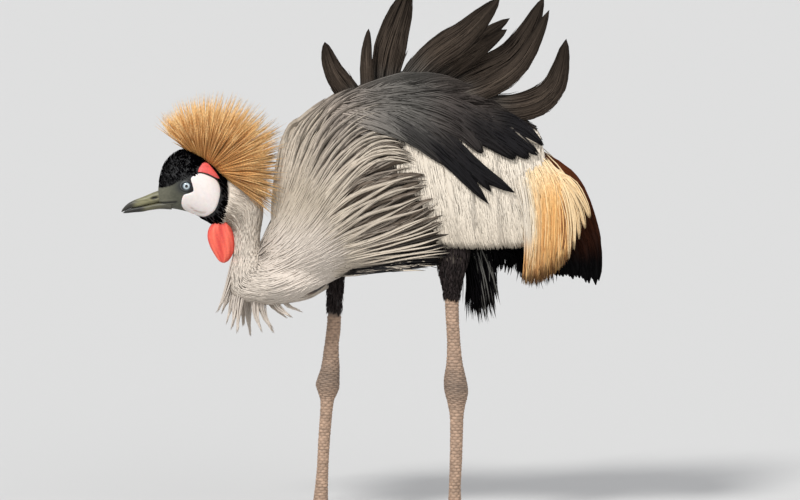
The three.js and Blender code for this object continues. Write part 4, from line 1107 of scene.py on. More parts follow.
# Raised plumes of the back: x and z of root, two middles and tip, width, y at the root and at the tip, and
# fullness towards the tip.
RAISED = [
    [-8, 572, -22, 592, -40, 620, -49.5, 654, 34, 7, 18, 0.5],
    [8, 574, 8, 604, 7, 640, 10, 674, 18, -6, -12, 0.55],
    [30, 578, 33, 622, 45, 672, 66, 731, 42, 4, 9, 1.0],
    [50, 584, 92, 632, 140, 668, 186, 716, 40, -4, -16, 0.95],
    [58, 584, 100, 606, 150, 650, 200, 686, 30, 8, 20, 0.7],
    [92, 584, 144, 606, 206, 640, 246, 714, 42, 5, 24, 0.8],
    [104, 580, 160, 592, 214, 628, 252, 700, 30, -8, -24, 0.8],
    [116, 576, 204, 567, 257, 593, 275, 661, 38, -7, -22, 0.85],
    [70, 582, 118, 618, 158, 646, 196, 672, 30, 2, 4, 0.6],
]
BLADE_STATIONS = 26


def blade_width(t, full):
    """Share of the full width along a plume that narrows to a point; full says how late it narrows."""
    slim = np.interp(t, [0, 0.2, 0.5, 0.75, 0.9, 1], [0.8, 1, 0.72, 0.4, 0.18, 0.01])
    broad = np.interp(t, [0, 0.2, 0.5, 0.75, 0.9, 1], [0.5, 0.86, 1, 0.76, 0.38, 0.01])
    return lerp(slim, broad, full)


def silk(run, per, rng):
    """Fine strands that run with each broad feather and draw together at its point."""
    i = np.repeat(np.arange(len(run.centre)), per)
    count = len(i)
    t0 = rng.uniform(-0.05, 0.72, count)
    t1 = np.minimum(t0 + rng.uniform(0.3, 0.55, count), 1.0)
    q = line(STATIONS)
    t = np.clip(lerp(t0[:, None], t1[:, None], q), 0, 1)
    v = vary(rng, count, -1, 1) * (1 + 0.1 * q) + 0.09 * rng.normal(0, 1, count)[:, None] * q**2
    points, normal = run.at(i[:, None], t, v, 0.9 * ease(q * 3) - 0.4, 0.12)
    half = widths(rng, count, 2.0, (0.6, 1.4), q, [0, 0.3, 0.75, 1], [0.5, 1, 0.7, 0.1])
    return Run(points, normal, half), i, t, v


def barbs(run, per, rng, reach, width, lift):
    """Fine barbs that run out from the quill of each broad feather to its edge."""
    i = np.repeat(np.arange(len(run.centre)), per)
    count = len(i)
    side = np.where(np.arange(count) % 2 == 0, -1.0, 1.0)
    t0 = rng.uniform(0.04, 0.97, count)
    q = line(6)
    t = np.minimum(t0[:, None] + reach * vary(rng, count, 0.8, 1.25) * q, 1.0)
    v = side[:, None] * q**0.85 * vary(rng, count, 0.9, 1.06)
    points, normal = run.at(i[:, None], t, v, lift, 0.12)
    half = widths(rng, count, width, (0.7, 1.3), q, [0, 0.5, 1], [0.9, 1, 0.25])
    return Run(points, normal, half), i, t, v


def make_raised(vane, down):
    """The plumes that stand up from the back, each a blade under a coat of silky strands."""
    rng = random_of(61)
    rows = np.array(RAISED, float)
    width, y0, y1, full = rows[:, 8:].T[..., None]
    y = lerp(y0, y1, np.array([0, 0.33, 0.67, 1]))
    t = line(BLADE_STATIONS)
    centre = through(np.stack([rows[:, 0:8:2], y, rows[:, 1:8:2]], -1), t)
    normal = unit(vec(0.12, np.sign(y0), 0.12))
    half = 0.5 * width * blade_width(t, full)
    roots = pair(rows[:, 0] / 200, y[:, 0] / 40)

    def colour(along):
        tone = mix(shade(SLATE, 0.75), shade(PLUME, 1.25), ease(along / 0.4))
        return mix(tone, shade(PLUME, 0.6), ease((along - 0.55) / 0.4))

    def tint(along, across, i):
        return shade(colour(along), 0.72 + 0.2 * mottle(across * 4 + i, along * 3, 31))

    blade = vanes("plumes_raised", Run(centre, normal, half), 1.0, tint, roots, columns=9)
    own(blade, vane, "body_feathers", "torso")
    for layer, face in (("near", 1), ("far", -1)):
        fine, i, st, sv = silk(Run(centre, normal * face, half), 140, rng)
        light = 1 + 0.45 * bell(sv, 0.22) * (rng.random(len(i)) > 0.4)[:, None]
        tones = vary(rng, len(i), 0.6, 1.5) * (1 - 0.22 * sv**2) * light
        uv = roots[i] + pair(st[:, 0], sv[:, 0]) * 0.05
        made = strands(f"plume_silk_{layer}", fine, 0.3, shade(colour(st), tones), uv)
        own(made, down, "body_feathers", "torso")


# Dark bundles that fall over the white wing: x and z of four stops, width at the middle, darkness, and how
# wide the end stays.
FALLS = [
    [-40, 562, 4, 554, 42, 540, 66, 524, 22, 0.1, 0.1],
    [-24, 566, 30, 552, 74, 528, 113, 493, 24, 0.7, 0.0],
    [-14, 568, 54, 548, 113, 506, 169, 443, 28, 1.0, 0.0],
    [0, 572, 72, 548, 132, 506, 172, 459, 28, 1.0, 0.0],
    [10, 576, 84, 548, 146, 494, 204, 457, 26, 1.0, 0.0],
    [30, 578, 96, 560, 136, 538, 160, 508, 32, 0.6, 0.5],
    [50, 580, 112, 562, 164, 532, 204, 499, 34, 0.9, 0.55],
    [72, 578, 132, 558, 184, 528, 222, 499, 32, 1.0, 0.6],
    [90, 574, 150, 554, 198, 530, 234, 503, 24, 1.0, 0.6],
    [110, 568, 160, 552, 204, 538, 241, 513, 22, 1.0, 0.5],
]
# A pale feather that shows in the black shoulder: from x, z to x, z, and its half thickness.
STREAK = (209, 526, 233, 514, 1.8)


def make_falls(side, name, material):
    """Scapular plumes: slate streaks that darken to two black points and a black shoulder over the wing."""
    rng = random_of(67)
    per = 150
    rows = np.repeat(np.array(FALLS, float), per, axis=0)
    count = len(rows)
    width, darkness, blunt = rows[:, 8:].T[..., None]
    v = vary(rng, count, -1, 1)
    t0 = rng.uniform(0, 0.6, count)
    t1 = np.minimum(t0 + rng.uniform(0.35, 0.65, count), 1 - 0.03 * rng.random(count))
    q = line(STATIONS)
    t = lerp(t0[:, None], t1[:, None], q)
    stops = pair(rows[:, 0:8:2], rows[:, 1:8:2])
    ahead = through(stops, np.minimum(t + 0.02, 1.0)) - through(stops, t - 0.02)
    out = unit(pair(-ahead[..., 1], ahead[..., 0]))
    narrow = np.interp(t, [0, 0.3, 0.6, 0.85, 1], [0.8, 1, 0.9, 0.45, 0.0])
    form = np.maximum(narrow, blunt * np.sqrt(np.clip(1.02 - t**4, 0, 1)))
    x, z = split(through(stops, t) + out * (v * width * 0.5 * form)[..., None])
    order = np.repeat(np.arange(len(FALLS)), per)[:, None] * 0.35
    high = vary(rng, count, 0, 2.0)
    lift = lerp(1.0 + high, 8.4 + high, ease(t * 1.6)) + order - 3.0 * (1 - ease(q * 3)) + 1.6 * (1 - v**2)
    points, normal = over(x, z, side, lift)
    half = widths(rng, count, 2.7, (0.7, 1.4), q, [0, 0.25, 0.65, 0.88, 1], [0.6, 1, 0.85, 0.45, 0.1])
    dark = ease((t - 0.24) / 0.4) * darkness
    tint = mix(back_colour(x), shade(BLACK, 2.6), dark)
    ax, az, bx, bz, thick = STREAK
    share = (x - ax) / (bx - ax)
    off = np.abs(z - lerp(az, bz, share)) / thick + 12 * np.abs(share - np.clip(share, 0, 1))
    tint = mix(tint, WHITE_SHADE, ease(1.6 - off) * (rng.random(count) > 0.35)[:, None])
    tint = shade(tint, lerp(vary(rng, count, 0.75, 1.25), vary(rng, count, 0.8, 1.2), dark))
    uv = body_uv(points[:, 0])
    coat(f"scapulars_{name}", points, normal, half, (0.3, 0.2), tint, uv, material, "body_feathers", "torso")


def covert_lift(x, z):
    """Height of the white panel over the body: low under the hackles, with soft upright folds behind."""
    inside = x - wing_front(z)
    folds = 0.8 * np.sin(x * TURN / 41 + 0.4 * np.sin(z / 19)) + 0.35 * np.sin(x * TURN / 17 + z / 40)
    return lerp(0.2, 4.6, ease(inside / 46)) + folds * ease((inside - 16) / 20)


# The wing's white, darker towards the bottom: painted shade.
def white_painted_shade_by_height(z):
    return mix(WHITE_SHADE, WHITE, ease((z - 385) / 70))


def make_coverts(side, name, vane, down):
    """The white of the wing: broad soft coverts in tiers, with fine down over them."""
    rng = random_of(71)
    runs = []
    t = line(14)
    for tier, (top, drop, per) in enumerate(((446, 60, 15), (478, 62, 15), (508, 62, 15), (530, 56, 12))):
        x = np.linspace(wing_front(top) + 14, 232, per) + rng.normal(0, 1.2, per)
        bottom = top - drop + rng.normal(0, 1.2, per)
        x = x[:, None] + 7 * t**1.3
        z = lerp(top, bottom[:, None], t)
        rise = covert_lift(x, z) + 0.25 * tier + 0.25 * rng.random(per)[:, None]
        points, normal = over(x, z, side, lerp(-2.0, rise, ease(t * 2.2)))
        half = widths(rng, per, 24, (0.92, 1.08), t, [0, 0.2, 0.7, 0.9, 1], [0.7, 1, 1, 0.8, 0.42])
        runs.append((points, leaned(points, normal, side * 0.03), half))
    run = Run(*(np.concatenate(part) for part in zip(*runs)))
    tone = rng.uniform(0.97, 1.0, len(run.centre))

    # Painted shade darkens each covert towards the bottom of the panel.
    def tint(along, across, i):
        return shade(white_painted_shade_by_height(run.centre[i, 0, 2] - 60 * along), tone[i] * (1 - 0.03 * across**4))

    cover = vanes(f"coverts_{name}", run, 0.2, tint, body_uv(run.centre[:, 0]), camber=0.02)
    own(cover, vane, "wing_feathers", f"wing_{name}")
    count = 2300
    z0 = rng.uniform(402, 548, count)
    x0 = lerp(wing_front(z0), 236, rng.random(count))
    fall = np.minimum(rng.uniform(34, 64, count), z0 - 385 + rng.uniform(0, 4, count))
    q = line(4)
    x = x0[:, None] + 8 * q**1.3 * vary(rng, count, 0.6, 1.3)
    z = z0[:, None] - fall[:, None] * q
    lift = covert_lift(x, z) + lerp(-1.0, 2.1 + 0.3 * rng.random(count)[:, None], ease(q * 3.0))
    points, normal = over(x, z, side, lift)
    half = widths(rng, count, 2.8, (0.7, 1.3), q, [0, 0.3, 0.75, 1], [0.6, 1, 0.8, 0.15])
    # The down takes the same painted shade towards the bottom.
    tint = shade(white_painted_shade_by_height(z), vary(rng, count, 0.96, 1.03))
    uv, solid = body_uv(points[:, 0]), f"wing_{name}"
    coat(f"covert_silk_{name}", points, normal, half, (0.05, 0.04), tint, uv, down, "wing_feathers", solid)


# The ends of three loose plumes behind the gold sheaf: x and z of three stops.
LOOSE_PLUMES = np.array(
    [[270, 462, 283, 424, 285, 380], [272, 468, 291, 436, 299, 408], [266, 466, 278, 420, 279, 368]]
)


def make_gold(side, name, material):
    """The sheaf of gold plumes at the rear of the wing: fine strands that hang and part at the tips."""
    rng = random_of(73)
    sheaf, loose = 1130, 140
    count = sheaf + loose
    free = np.arange(count) >= sheaf
    u = rng.random(count) ** 0.9
    lock = np.floor(rng.random(count) * 6).astype(int)
    u = np.where(free, 1.0, u)
    x0 = lerp(206, 240, u) + rng.normal(0, 2, count)
    z0 = lerp(510, 500, u) + rng.normal(0, 5, count)
    start = vary(rng, count, 0, 0.3)
    x = np.stack([x0, lerp(x0 + 5, 261, u), lerp(221, 277, u), lerp(217, 280, u**1.15)], 1)
    z = np.stack([z0, lerp(458, 474, u), lerp(398, 424, u), lerp(334, 372, u**3)], 1)
    stops = pair(x, z)
    stops[:, 1:] += rng.normal(0, 2.2, (count, 3, 2)) * [1, 0.3]
    stops[:, 3, 1] += rng.uniform(0, 22, count) * (rng.random(count) > 0.45)
    far = np.concatenate([LOOSE_PLUMES, LOOSE_PLUMES + [3, 3, 5, 6, 6, 14]])[lock].reshape(-1, 3, 2)
    stops[free, 1:] = far[free] + rng.normal(0, 1, (loose, 1, 2)) * np.array([[2.4], [1.8], [0.6]])
    t = lerp(start, 1.0, line(8))
    x, z = split(through(stops, t))
    high = vary(rng, count, 0, 6) + 2.0 * free[:, None]
    lift = 1.5 + high * ease(t * 2) + 6.0 * ease(t * 3) - 4 * (1 - ease((t - start) * 8))
    points, normal = over(x, z, side, lift)
    normal = leaned(points, normal, vary(rng, count, -0.7, 0.7)[..., None])
    half = widths(rng, count, 2.3, (0.6, 1.4), line(8), [0, 0.3, 0.8, 1], [0.6, 1, 0.7, 0.1])
    low = ease((t - 0.66) / 0.16)
    tint = mix(WHITE, CREAM, (u[:, None] - 0.04) / 0.2 + low)
    body = np.maximum(ease((u - 0.12) / 0.3)[:, None], 0.85 * low)
    tint = mix(tint, GOLD, 0.9 * body * ease((t - 0.1) / 0.4))
    deep = mottle(u * 26, t[:, 0] * 3, 5)[:, None]
    tint = mix(tint, AMBER, 0.75 * body * ease((deep - 0.4) / 0.4) * ease((t - 0.25) / 0.4))
    tint = mix(tint, CREAM, 0.6 * ease((0.35 - deep) / 0.2) * ease((t - 0.2) / 0.3))
    tips = ease((t - 0.82) / 0.12) * (~free & (u < 0.75) & (rng.random(count) > 0.25))[:, None]
    tint = mix(tint, CHESTNUT, tips * 0.9)
    rust = (~free & (u > 0.8) & (rng.random(count) > 0.5))[:, None] * ease((t - 0.2) / 0.3)
    tint = mix(tint, shade(CHESTNUT, 2.2), 0.75 * rust)
    tint = shade(mix(tint, CREAM, free[:, None] * 0.35), vary(rng, count, 0.8, 1.06))
    uv, solid = body_uv(points[:, 0]), f"wing_{name}"
    coat(f"gold_{name}", points, normal, half, (0.35, 0.15), tint, uv, material, "wing_feathers", solid)


def make_flight(side, name, vane, down):
    """Chestnut and black flight feathers behind and below the gold ones."""
    rng = random_of(79)
    count, stations = 17, 24
    u = np.linspace(0, 1, count)
    t = line(stations)
    x = np.stack([lerp(196, 238, u), lerp(222, 288, u), lerp(240, 312, u), lerp(250, 320, u)], 1)
    foot = lerp(346, 328, u) + 8 * rng.random(count)
    z = np.stack([lerp(430, 506, u), lerp(398, 462, u), lerp(366, 398, u), foot], 1)
    x, z = split(through(pair(x, z), t))
    layer = (u * 5 % 1)[:, None]
    points, normal = over(x, z, side, lerp(-3, 1 + 2.5 * layer, t))
    form = np.interp(t, [0, 0.25, 0.7, 0.9, 1], [0.5, 1, 1, 0.6, 0.06])
    ragged = 1 - 0.14 * (rng.random((count, stations)) > 0.8) * rng.random((count, stations))
    run = Run(points, leaned(points, normal, -side * 0.25), 0.5 * 19 * form * ragged)
    tone = rng.uniform(0.8, 1.2, count)

    def colour(along, share):
        return mix(BLACK, CHESTNUT, np.clip(1.25 - 1.5 * along, 0, 1) * ease((share - 0.3) / 0.4))

    def tint(along, across, i):
        return shade(colour(along, u[i]), tone[i] * (1 - 0.15 * np.abs(across) ** 3))

    made = vanes(f"flight_{name}", run, 0.8, tint, body_uv(run.centre[:, 0]))
    own(made, vane, "wing_feathers", f"wing_{name}")
    barb, i, bt, _ = barbs(run, 56, rng, 0.22, 1.3, 0.35)
    tint = shade(colour(bt, u[i][:, None]), tone[i][:, None] * vary(rng, len(i), 0.8, 1.25))
    made = strands(f"flight_barbs_{name}", barb, 0.2, tint, body_uv(barb.centre[:, 0]))
    own(made, down, "wing_feathers", f"wing_{name}")


def make_tail(vane, down):
    """Stiff black tail feathers that hang between the wings."""
    rng = random_of(83)
    count = 12
    u = np.linspace(-0.5, 0.5, count)
    out = np.abs(u)
    t = line(20)
    y = u * 17
    tip = 352 + 12 * rng.random(count) + 14 * out
    stops = [vec(250, y * 0.5, 462), vec(276, y * 0.9, 434), vec(292 - 12 * out, y, 396)]
    centre = through(np.stack([*stops, vec(297 - 18 * out, y * 1.1, tip)], 1), t)
    normal = unit(vec(0.62, 0.74 * np.sign(u), 0.2))[:, None]
    run = Run(centre, normal, 0.5 * 20 * np.interp(t, [0, 0.25, 0.75, 0.93, 1], [0.5, 1, 1, 0.6, 0.08]))
    roots = pair(u, 0.3 * np.cos(u * 9))

    def tint(along, across, i):
        return shade(BLACK, 1 - 0.2 * np.abs(across) ** 3)

    own(vanes("tail_vanes", run, 0.8, tint, roots), vane, "tail_feathers", "tail")
    barb, i, bt, bv = barbs(run, 68, rng, 0.14, 1.4, 0.6)
    uv = roots[i] + pair(bt[:, 0], np.sign(bv[:, 1])) * 0.05
    made = strands("tail_barbs", barb, 0.2, shade(BLACK, vary(rng, len(i), 0.7, 1.5)), uv)
    own(made, down, "tail_feathers", "tail")


def fringe(name, start, end, bow, rng, width, stations, tint, uv, facing, material):
    """Loose locks from start to end, bowed by a middle offset."""
    t = line(stations)
    points = through(np.stack([start, (start + end) / 2 + bow, end], 1), t)
    half = widths(rng, len(start), width, (0.6, 1.3), t, [0, 0.3, 0.75, 1], [0.7, 1, 0.7, 0.1])
    normal = unit(facing)[:, None]
    coat(name, points, normal, half, (0.3, 0.15), tint, uv, material, "body_feathers", "torso")


vent_drop = level([136, 104], [152, 100], [162, 66], [173, 34], [192, 34], [208, 46], [226, 58], [246, 50])


def make_belly(material):
    """Black feathers of the belly and vent, and the loose tuft behind the thighs."""
    rng = random_of(87)
    count = 1500
    x0 = rng.uniform(-30, 250, count)
    share = rng.uniform(-1, 1, count)
    middle, high, wide = split(plumage(x0))
    z0 = middle - high + 12 + 20 * share**2 + rng.uniform(-4, 8, count) + 16 * ease((x0 - 200) / 50)
    z0 = z0 - 9 * ease((x0 + 10) / 40) * ease((150 - x0) / 30)
    reach = rng.uniform(22, 46, count) * lerp(0.8, 1, ease((x0 - 60) / 60))
    slope = np.radians(rng.uniform(-22, -2, count) - 14 * ease((x0 - 140) / 60))
    start = vec(x0, share * wide * 0.62, z0)
    end = start + vec(reach * np.cos(slope), rng.normal(0, 2, count), reach * np.sin(slope))
    tint = shade(BLACK, rng.uniform(0.6, 1.8, count))
    facing = vec(0.2, 0.6 * share, -1 + 0.5 * np.abs(share))
    fringe("belly", start, end, vec(0, 0, -2), rng, 3.8, 5, tint, pair(x0 / 280, share), facing, material)
    count = 1200
    x0 = np.where(rng.random(count) < 0.45, rng.uniform(136, 166, count), rng.uniform(160, 250, count))
    y0 = rng.uniform(-1, 1, count) * lerp(32, 18, ease((x0 - 150) / 80))
    z0 = rng.uniform(374, 396, count)
    drop = vent_drop(x0) * rng.uniform(0.55, 1.0, count) ** 0.6
    sweep = rng.uniform(0.02, 0.34, count)
    end = vec(x0 + drop * sweep + rng.normal(0, 2, count), y0 * 1.08, z0 - drop)
    bow = rng.normal(0, 1.6, (count, 3)) + vec(3, 0, 0)
    pale = (rng.random(count) < 0.16) & (x0 > 146) & (x0 < 176)
    tint = np.where(pale[:, None], shade(SLATE, 0.8), shade(BLACK, rng.uniform(0.7, 2.4, count)))
    facing = vec(0.2, np.sign(y0), 0)
    fringe("vent", vec(x0, y0, z0), end, bow, rng, 2.3, 6, tint, pair(x0 / 60, y0 / 60), facing, material)


def make_thighs(name, material):
    """Dark short feathers down each thigh."""
    rng = random_of(91)
    count = 950
    last = 3.7
    k0 = rng.uniform(0, last - 0.15, count)
    phi = rng.uniform(0, TURN, count)
    length = rng.uniform(12, 26, count) * lerp(1, 0.6, k0 / last)
    t = line(5)
    keys = np.linspace(0, 5, 60)
    k1 = np.interp(length - leg_at(name, k0, phi)[0][:, 2], -leg_height(name, keys), keys)
    k = lerp(k0[:, None], k1[:, None], t)
    lift = lerp(-1.5, 1.2 + 1.6 * rng.random(count)[:, None], ease(t * 1.2))
    points, normal = leg_at(name, k, phi[:, None], lift)
    half = widths(rng, count, 3.2, (0.7, 1.3), t, [0, 0.3, 0.7, 1], [0.6, 1, 0.8, 0.1])
    tint = shade(THIGH, vary(rng, count, 0.6, 1.5))
    uv, solid = pair(k0 / last, phi / TURN), f"thigh_{name}"
    coat(f"thigh_down_{name}", points, normal, half, (0.3, 0.15), tint, uv, material, "thigh_feathers", solid)


def make_velvet(material):
    """The cap: short dense velvet that stands off the crown."""
    rng = random_of(97)
    count = 3500
    x = rng.uniform(-273, -196, count)
    middle, tall, half = head_oval(x)
    limit = np.arccos(np.clip((cap_edge(x) - middle) / tall, -1, 1)) - 0.03
    angle = rng.uniform(-1, 1, count) * limit
    z = middle + tall * np.cos(angle)
    covered = inside_outline(x, z, RED, 1.12) | inside_outline(x + 3.5, z, RED, 1.05)
    clear = ~(covered | inside_outline(x + 3.5, z, CHEEK, 1.03))
    keys = np.linspace(-274, -172, 200)
    lean = np.interp(x, keys, np.gradient(head_rib(keys)[:, 0], keys))
    n = unit(vec(-0.8 * lean, np.sin(angle) / half * 24, np.cos(angle) / tall * 40))
    back = unit(n + vec(0.9, 0, 0.1))
    t = line(4)
    length = rng.uniform(3.2, 5.0, count) * (0.45 + 0.55 * ease((limit - np.abs(angle)) / 0.25))
    points = vec(x, half * np.sin(angle), z)[:, None] + n[:, None] * (1.7 * np.sin(t * 1.6) - 0.8)[..., None]
    points = points + back[:, None] * (0.8 * t * length[:, None])[..., None]
    half = widths(rng, count, 1.5, (0.7, 1.3), t, t[0], [0.8, 1, 0.7, 0.1])
    tint = shade(srgb(5, 4, 7), vary(rng, count, 0.5, 1.5))
    kept = (part[clear] for part in (points, n[:, None], half))
    uv = pair(x / 80, angle / 4)[clear]
    coat("cap_velvet", *kept, (0.35, 0.1), tint[clear], uv, material, "cap_velvet", "cap")


def make_band(material):
    """Short black feathers behind the cheek, under it and down the throat."""
    rng = random_of(101)
    count = 3000
    x = rng.uniform(-252, -174, count)
    angle = rng.uniform(-math.pi, math.pi, count)
    middle, tall, _ = head_oval(x)
    z = middle + tall * np.cos(angle)
    keep = (x > -232) | (z < 428)
    for ahead in (0, 3, 7):
        keep &= ~(inside_outline(x + ahead, z, CHEEK, 1.0) | inside_outline(x + ahead, z, RED, 1.0))
    x, angle, z = x[keep], angle[keep], z[keep]
    count = len(x)
    t = line(5)
    along = x[:, None] + rng.uniform(5, 9, count)[:, None] * t * 0.86
    middle, tall, half = head_oval(np.minimum(along, -172.5))
    lift = lerp(-0.8, 0.9 + 0.7 * rng.random(count)[:, None], ease(t * 1.3))
    turn = angle[:, None] + 0.06 * np.sign(angle)[:, None] * t
    points = vec(along, (half + lift) * np.sin(turn), middle + (tall + lift) * np.cos(turn))
    normal = unit(vec(0, np.sin(turn) / half, np.cos(turn) / tall))
    half = widths(rng, count, 1.8, (0.7, 1.3), t, t[0], [0.7, 1, 1, 0.6, 0.1])
    pale = x > band_edge(z) + rng.normal(0, 0.8, count)
    tint = shade(np.where(pale[:, None], shade(NECK_GREY, 0.98), BLACK), rng.uniform(0.8, 1.05, count))
    uv = pair(x / 80, angle / 6)
    coat("face_band", points, normal, half, (0.3, 0.1), tint, uv, material, "cap_velvet", "head")


CREST_BRISTLES = 2500
CREST_TURNS = 16
CREST_REACH = 110
CREST_SPREAD = 100
GOLDEN_ANGLE = 2.39996


def make_crest(material):
    """Stiff bristles that fan from the back of the crown; the rear ones end at the body or pass by it."""
    rng = random_of(103)
    count = CREST_BRISTLES
    i = np.arange(count)
    r = np.sqrt((i + 0.5) / count)
    fore, wide = r * np.cos(i * GOLDEN_ANGLE), r * np.sin(i * GOLDEN_ANGLE)
    flare = 20 * np.tanh(wide * 6) * ease((fore - 0.1) / 0.6)
    lean = np.radians(52 - 87 * fore + rng.normal(0, 2.6, count))
    spread = np.radians(48 * wide + flare + rng.normal(0, 2.6, count))
    out = vec(np.cos(lean) * np.cos(spread), np.sin(spread), np.sin(lean) * np.cos(spread))
    base = vec(-205 + 19 * fore, 9 * wide, 487 - 13 * fore)
    dome = 1.07 - 0.27 * np.abs(fore - 0.35) ** 1.4
    reach = CREST_REACH * dome * (1.02 - 0.55 * rng.random(count) ** 1.3)
    steps = np.linspace(0, 1, 24)
    x, y, z = split(base[:, None] + out[:, None] * (reach[:, None] * steps)[..., None])
    middle, high, half_wide = split(plumage(x))
    share = np.clip((z - middle) / high, -1, 1)
    inside = (x > -129) & (np.abs(y) < half_wide * np.sqrt(1 - share**2) + 3)
    free = np.where(inside.any(1), steps[np.argmax(inside, 1)], 1.0)
    reach = reach * np.clip(free, 0.45, 1.0)
    t = line(5)
    bend = rng.normal(0, 2.2, (count, 3))[:, None] * (t**2)[..., None]
    points = base[:, None] + out[:, None] * (reach[:, None] * t)[..., None] + bend
    points[..., 1] = CREST_SPREAD * np.tanh(points[..., 1] / CREST_SPREAD)
    points[..., 2] -= (6 * np.maximum(0, fore))[:, None] * t**2
    normal = unit(np.cross(out, rng.normal(0, 1, (count, 3))))[:, None]
    half = widths(rng, count, 1.15, (0.7, 1.25), t, [0, 0.6, 0.9, 1], [0.7, 1, 1, 0.6])
    tint = mix(srgb(248, 190, 116), srgb(196, 128, 66), rng.random(count) * 0.7)[:, None]
    light = ease((t - 0.62) / 0.25) * rng.random(count)[:, None] ** 0.8
    tint = mix(tint, srgb(252, 222, 160), 0.9 * light)
    tint = mix(tint, srgb(255, 196, 112), 0.6 * (1 - ease(t / 0.4)))
    uv = pair(fore, wide)
    coat("crest_bristles", points, normal, half, (1.2, 0), tint, uv, material, "crest_bristle", "crest")


# Head pieces

CHEEK = np.array(
    [
        [-229, 475], [-227.5, 466], [-226, 457], [-232, 453.5],
        [-240, 450], [-243, 439], [-240, 430], [-230, 424],
        [-216, 420], [-207, 421], [-196, 430], [-190, 446],
        [-189, 460], [-194, 471], [-206, 478], [-218, 481],
    ]
)
RED = np.array(
    [
        [-220, 482], [-217, 490], [-210, 495.5], [-200, 486],
        [-191, 473.5], [-193.4, 472.6], [-206, 479], [-218, 482],
    ]
)


def inside_outline(x, z, outline, scale):
    """Whether places of the side view lie inside an outline that is scaled about its middle."""
    middle = outline.mean(0)
    ring = middle + (outline - middle) * scale
    inside = np.zeros(len(x), bool)
    for (ax, az), (bx, bz) in zip(ring, np.roll(ring, -1, axis=0)):
        crosses = (az > z) != (bz > z)
        at = ax + (z - az) * (bx - ax) / np.where(bz == az, 1e-9, bz - az)
        inside ^= crosses & (x < at)
    return inside


def closed_curve(outline, count):
    """An outline rounded into a smooth closed curve."""
    looped = np.concatenate([outline[-2:], outline, outline[:3]])[None]
    stops = looped.shape[1] - 1
    t = (2 + np.linspace(0, len(outline), count, endpoint=False)) / stops
    return through(looped, t[None])[0]


def cheek_crease(x, z):
    return bell(z - 426.4 - 0.03 * (x + 214) ** 2, 1.0) * ease((13 - np.abs(x + 220)) / 5)


def make_plate(side, name, outline, rise, crease, colour, material, slot, solid):
    """A raised plate of bare skin that follows the head, with rounded edges and a crease of a depth."""
    sides, rings = 72, 18
    middle = outline.mean(0)
    rho = np.linspace(0, 1, rings + 1)[1:, None]
    x, z = split(middle + (closed_curve(outline, sides) - middle) * rho[..., None])
    bulge = rise * np.sqrt(np.clip(1 - rho**5, 0, 1)) - 1.6 * ease((rho - 0.94) / 0.06)
    points, _ = head_at(x, z, side, bulge)
    points[..., 1] -= side * crease * cheek_crease(x, z)
    top, _ = head_at(middle[:1], middle[1:], side, rise)
    face = np.concatenate([points.reshape(-1, 3), top])
    body = np.concatenate([face, face - [0, side * 2.2, 0]])
    quads = loft_faces(rings, sides)
    j = np.arange(sides)
    k = (j + 1) % sides
    fan = np.stack([np.full(sides, rings * sides), k, j], -1)
    under = len(face)
    last = (rings - 1) * sides
    rim = np.stack([last + j, last + k, last + k + under, last + j + under], -1)
    cells = np.concatenate([quads[:, ::-1], quads + under, rim[:, ::-1]])
    fans = np.concatenate([fan[:, ::-1], fan + under])
    plate = make_mesh(name + "_skin", body, outward(body, [cells, fans]), colour(body))
    own(plate, material, slot, solid)


# The cheek is painted brownish along its crease: painted shade in the fold.
def cheek_tint(p):
    return mix(srgb(226, 217, 212), srgb(168, 140, 122), 0.8 * cheek_crease(p[:, 0], p[:, 2]))


def red_tint(p):
    return shade(srgb(240, 100, 94), 0.82 + 0.26 * mottle(p[:, 0] / 3, p[:, 2] / 3, 7))


def make_eye(side, name, material):
    """A ball with iris and pupil, seen through its own glossy face."""
    rows, columns = 40, 64
    polar = np.linspace(0, math.pi, rows)[:, None]
    turn = circle(columns)
    radius = EYE["radius"]
    ring = radius * np.sin(polar)
    x, z = ring * np.cos(turn), ring * np.sin(turn)
    points = vec(EYE["x"] + x, side * (EYE["y"] + radius * np.cos(polar)), EYE["z"] + z).reshape(-1, 3)
    d = np.hypot(x, z).ravel()
    tint = mix(srgb(190, 203, 208), srgb(96, 110, 118), ease((d - 3.3) / 1.3))
    tint = shade(tint, 0.88 + 0.2 * mottle(np.arctan2(z, x).ravel() * 9 + 40, d * 0.4, 9))
    tint = mix(tint, srgb(8, 8, 10), np.maximum(1 - ease((d - 1.9) / 0.35), ease((d - 5.2) / 0.6)))
    faces = outward(points - points.mean(0), [loft_faces(rows, columns)])
    own(make_mesh(f"eyeball_{name}", points, faces, tint), material, "eye", f"eye_{name}")


def make_lids(side, name, material):
    """The rim of the lids round each eye, thicker above."""
    count, sides = 80, 18
    turn, tube = circle(count)[:, None], circle(sides)
    thick = 1.35 + 0.35 * np.sin(turn)
    reach = 6.5 + thick * np.cos(tube)
    out = math.sqrt(EYE["radius"] ** 2 - 6.2**2) + 0.1 + thick * np.sin(tube)
    wide, tall, slant = 1.1, 0.9, 0.14
    dx, dz = reach * np.cos(turn) * wide, reach * np.sin(turn) * tall
    points = vec(EYE["x"] + dx - slant * dz, side * (EYE["y"] + out), EYE["z"] + dz + slant * dx * 0.6)
    points = points.reshape(-1, 3)
    quads = loft_faces(count + 1, sides) % (count * sides)
    inner = np.tile(ease((np.cos(tube) + 0.3) / 0.9), count)
    tint = mix(srgb(34, 35, 36), srgb(78, 82, 82), inner)
    faces = outward(points - points.mean(0), [quads])
    own(make_mesh(f"lids_{name}", points, faces, tint), material, "face_skin", "head")


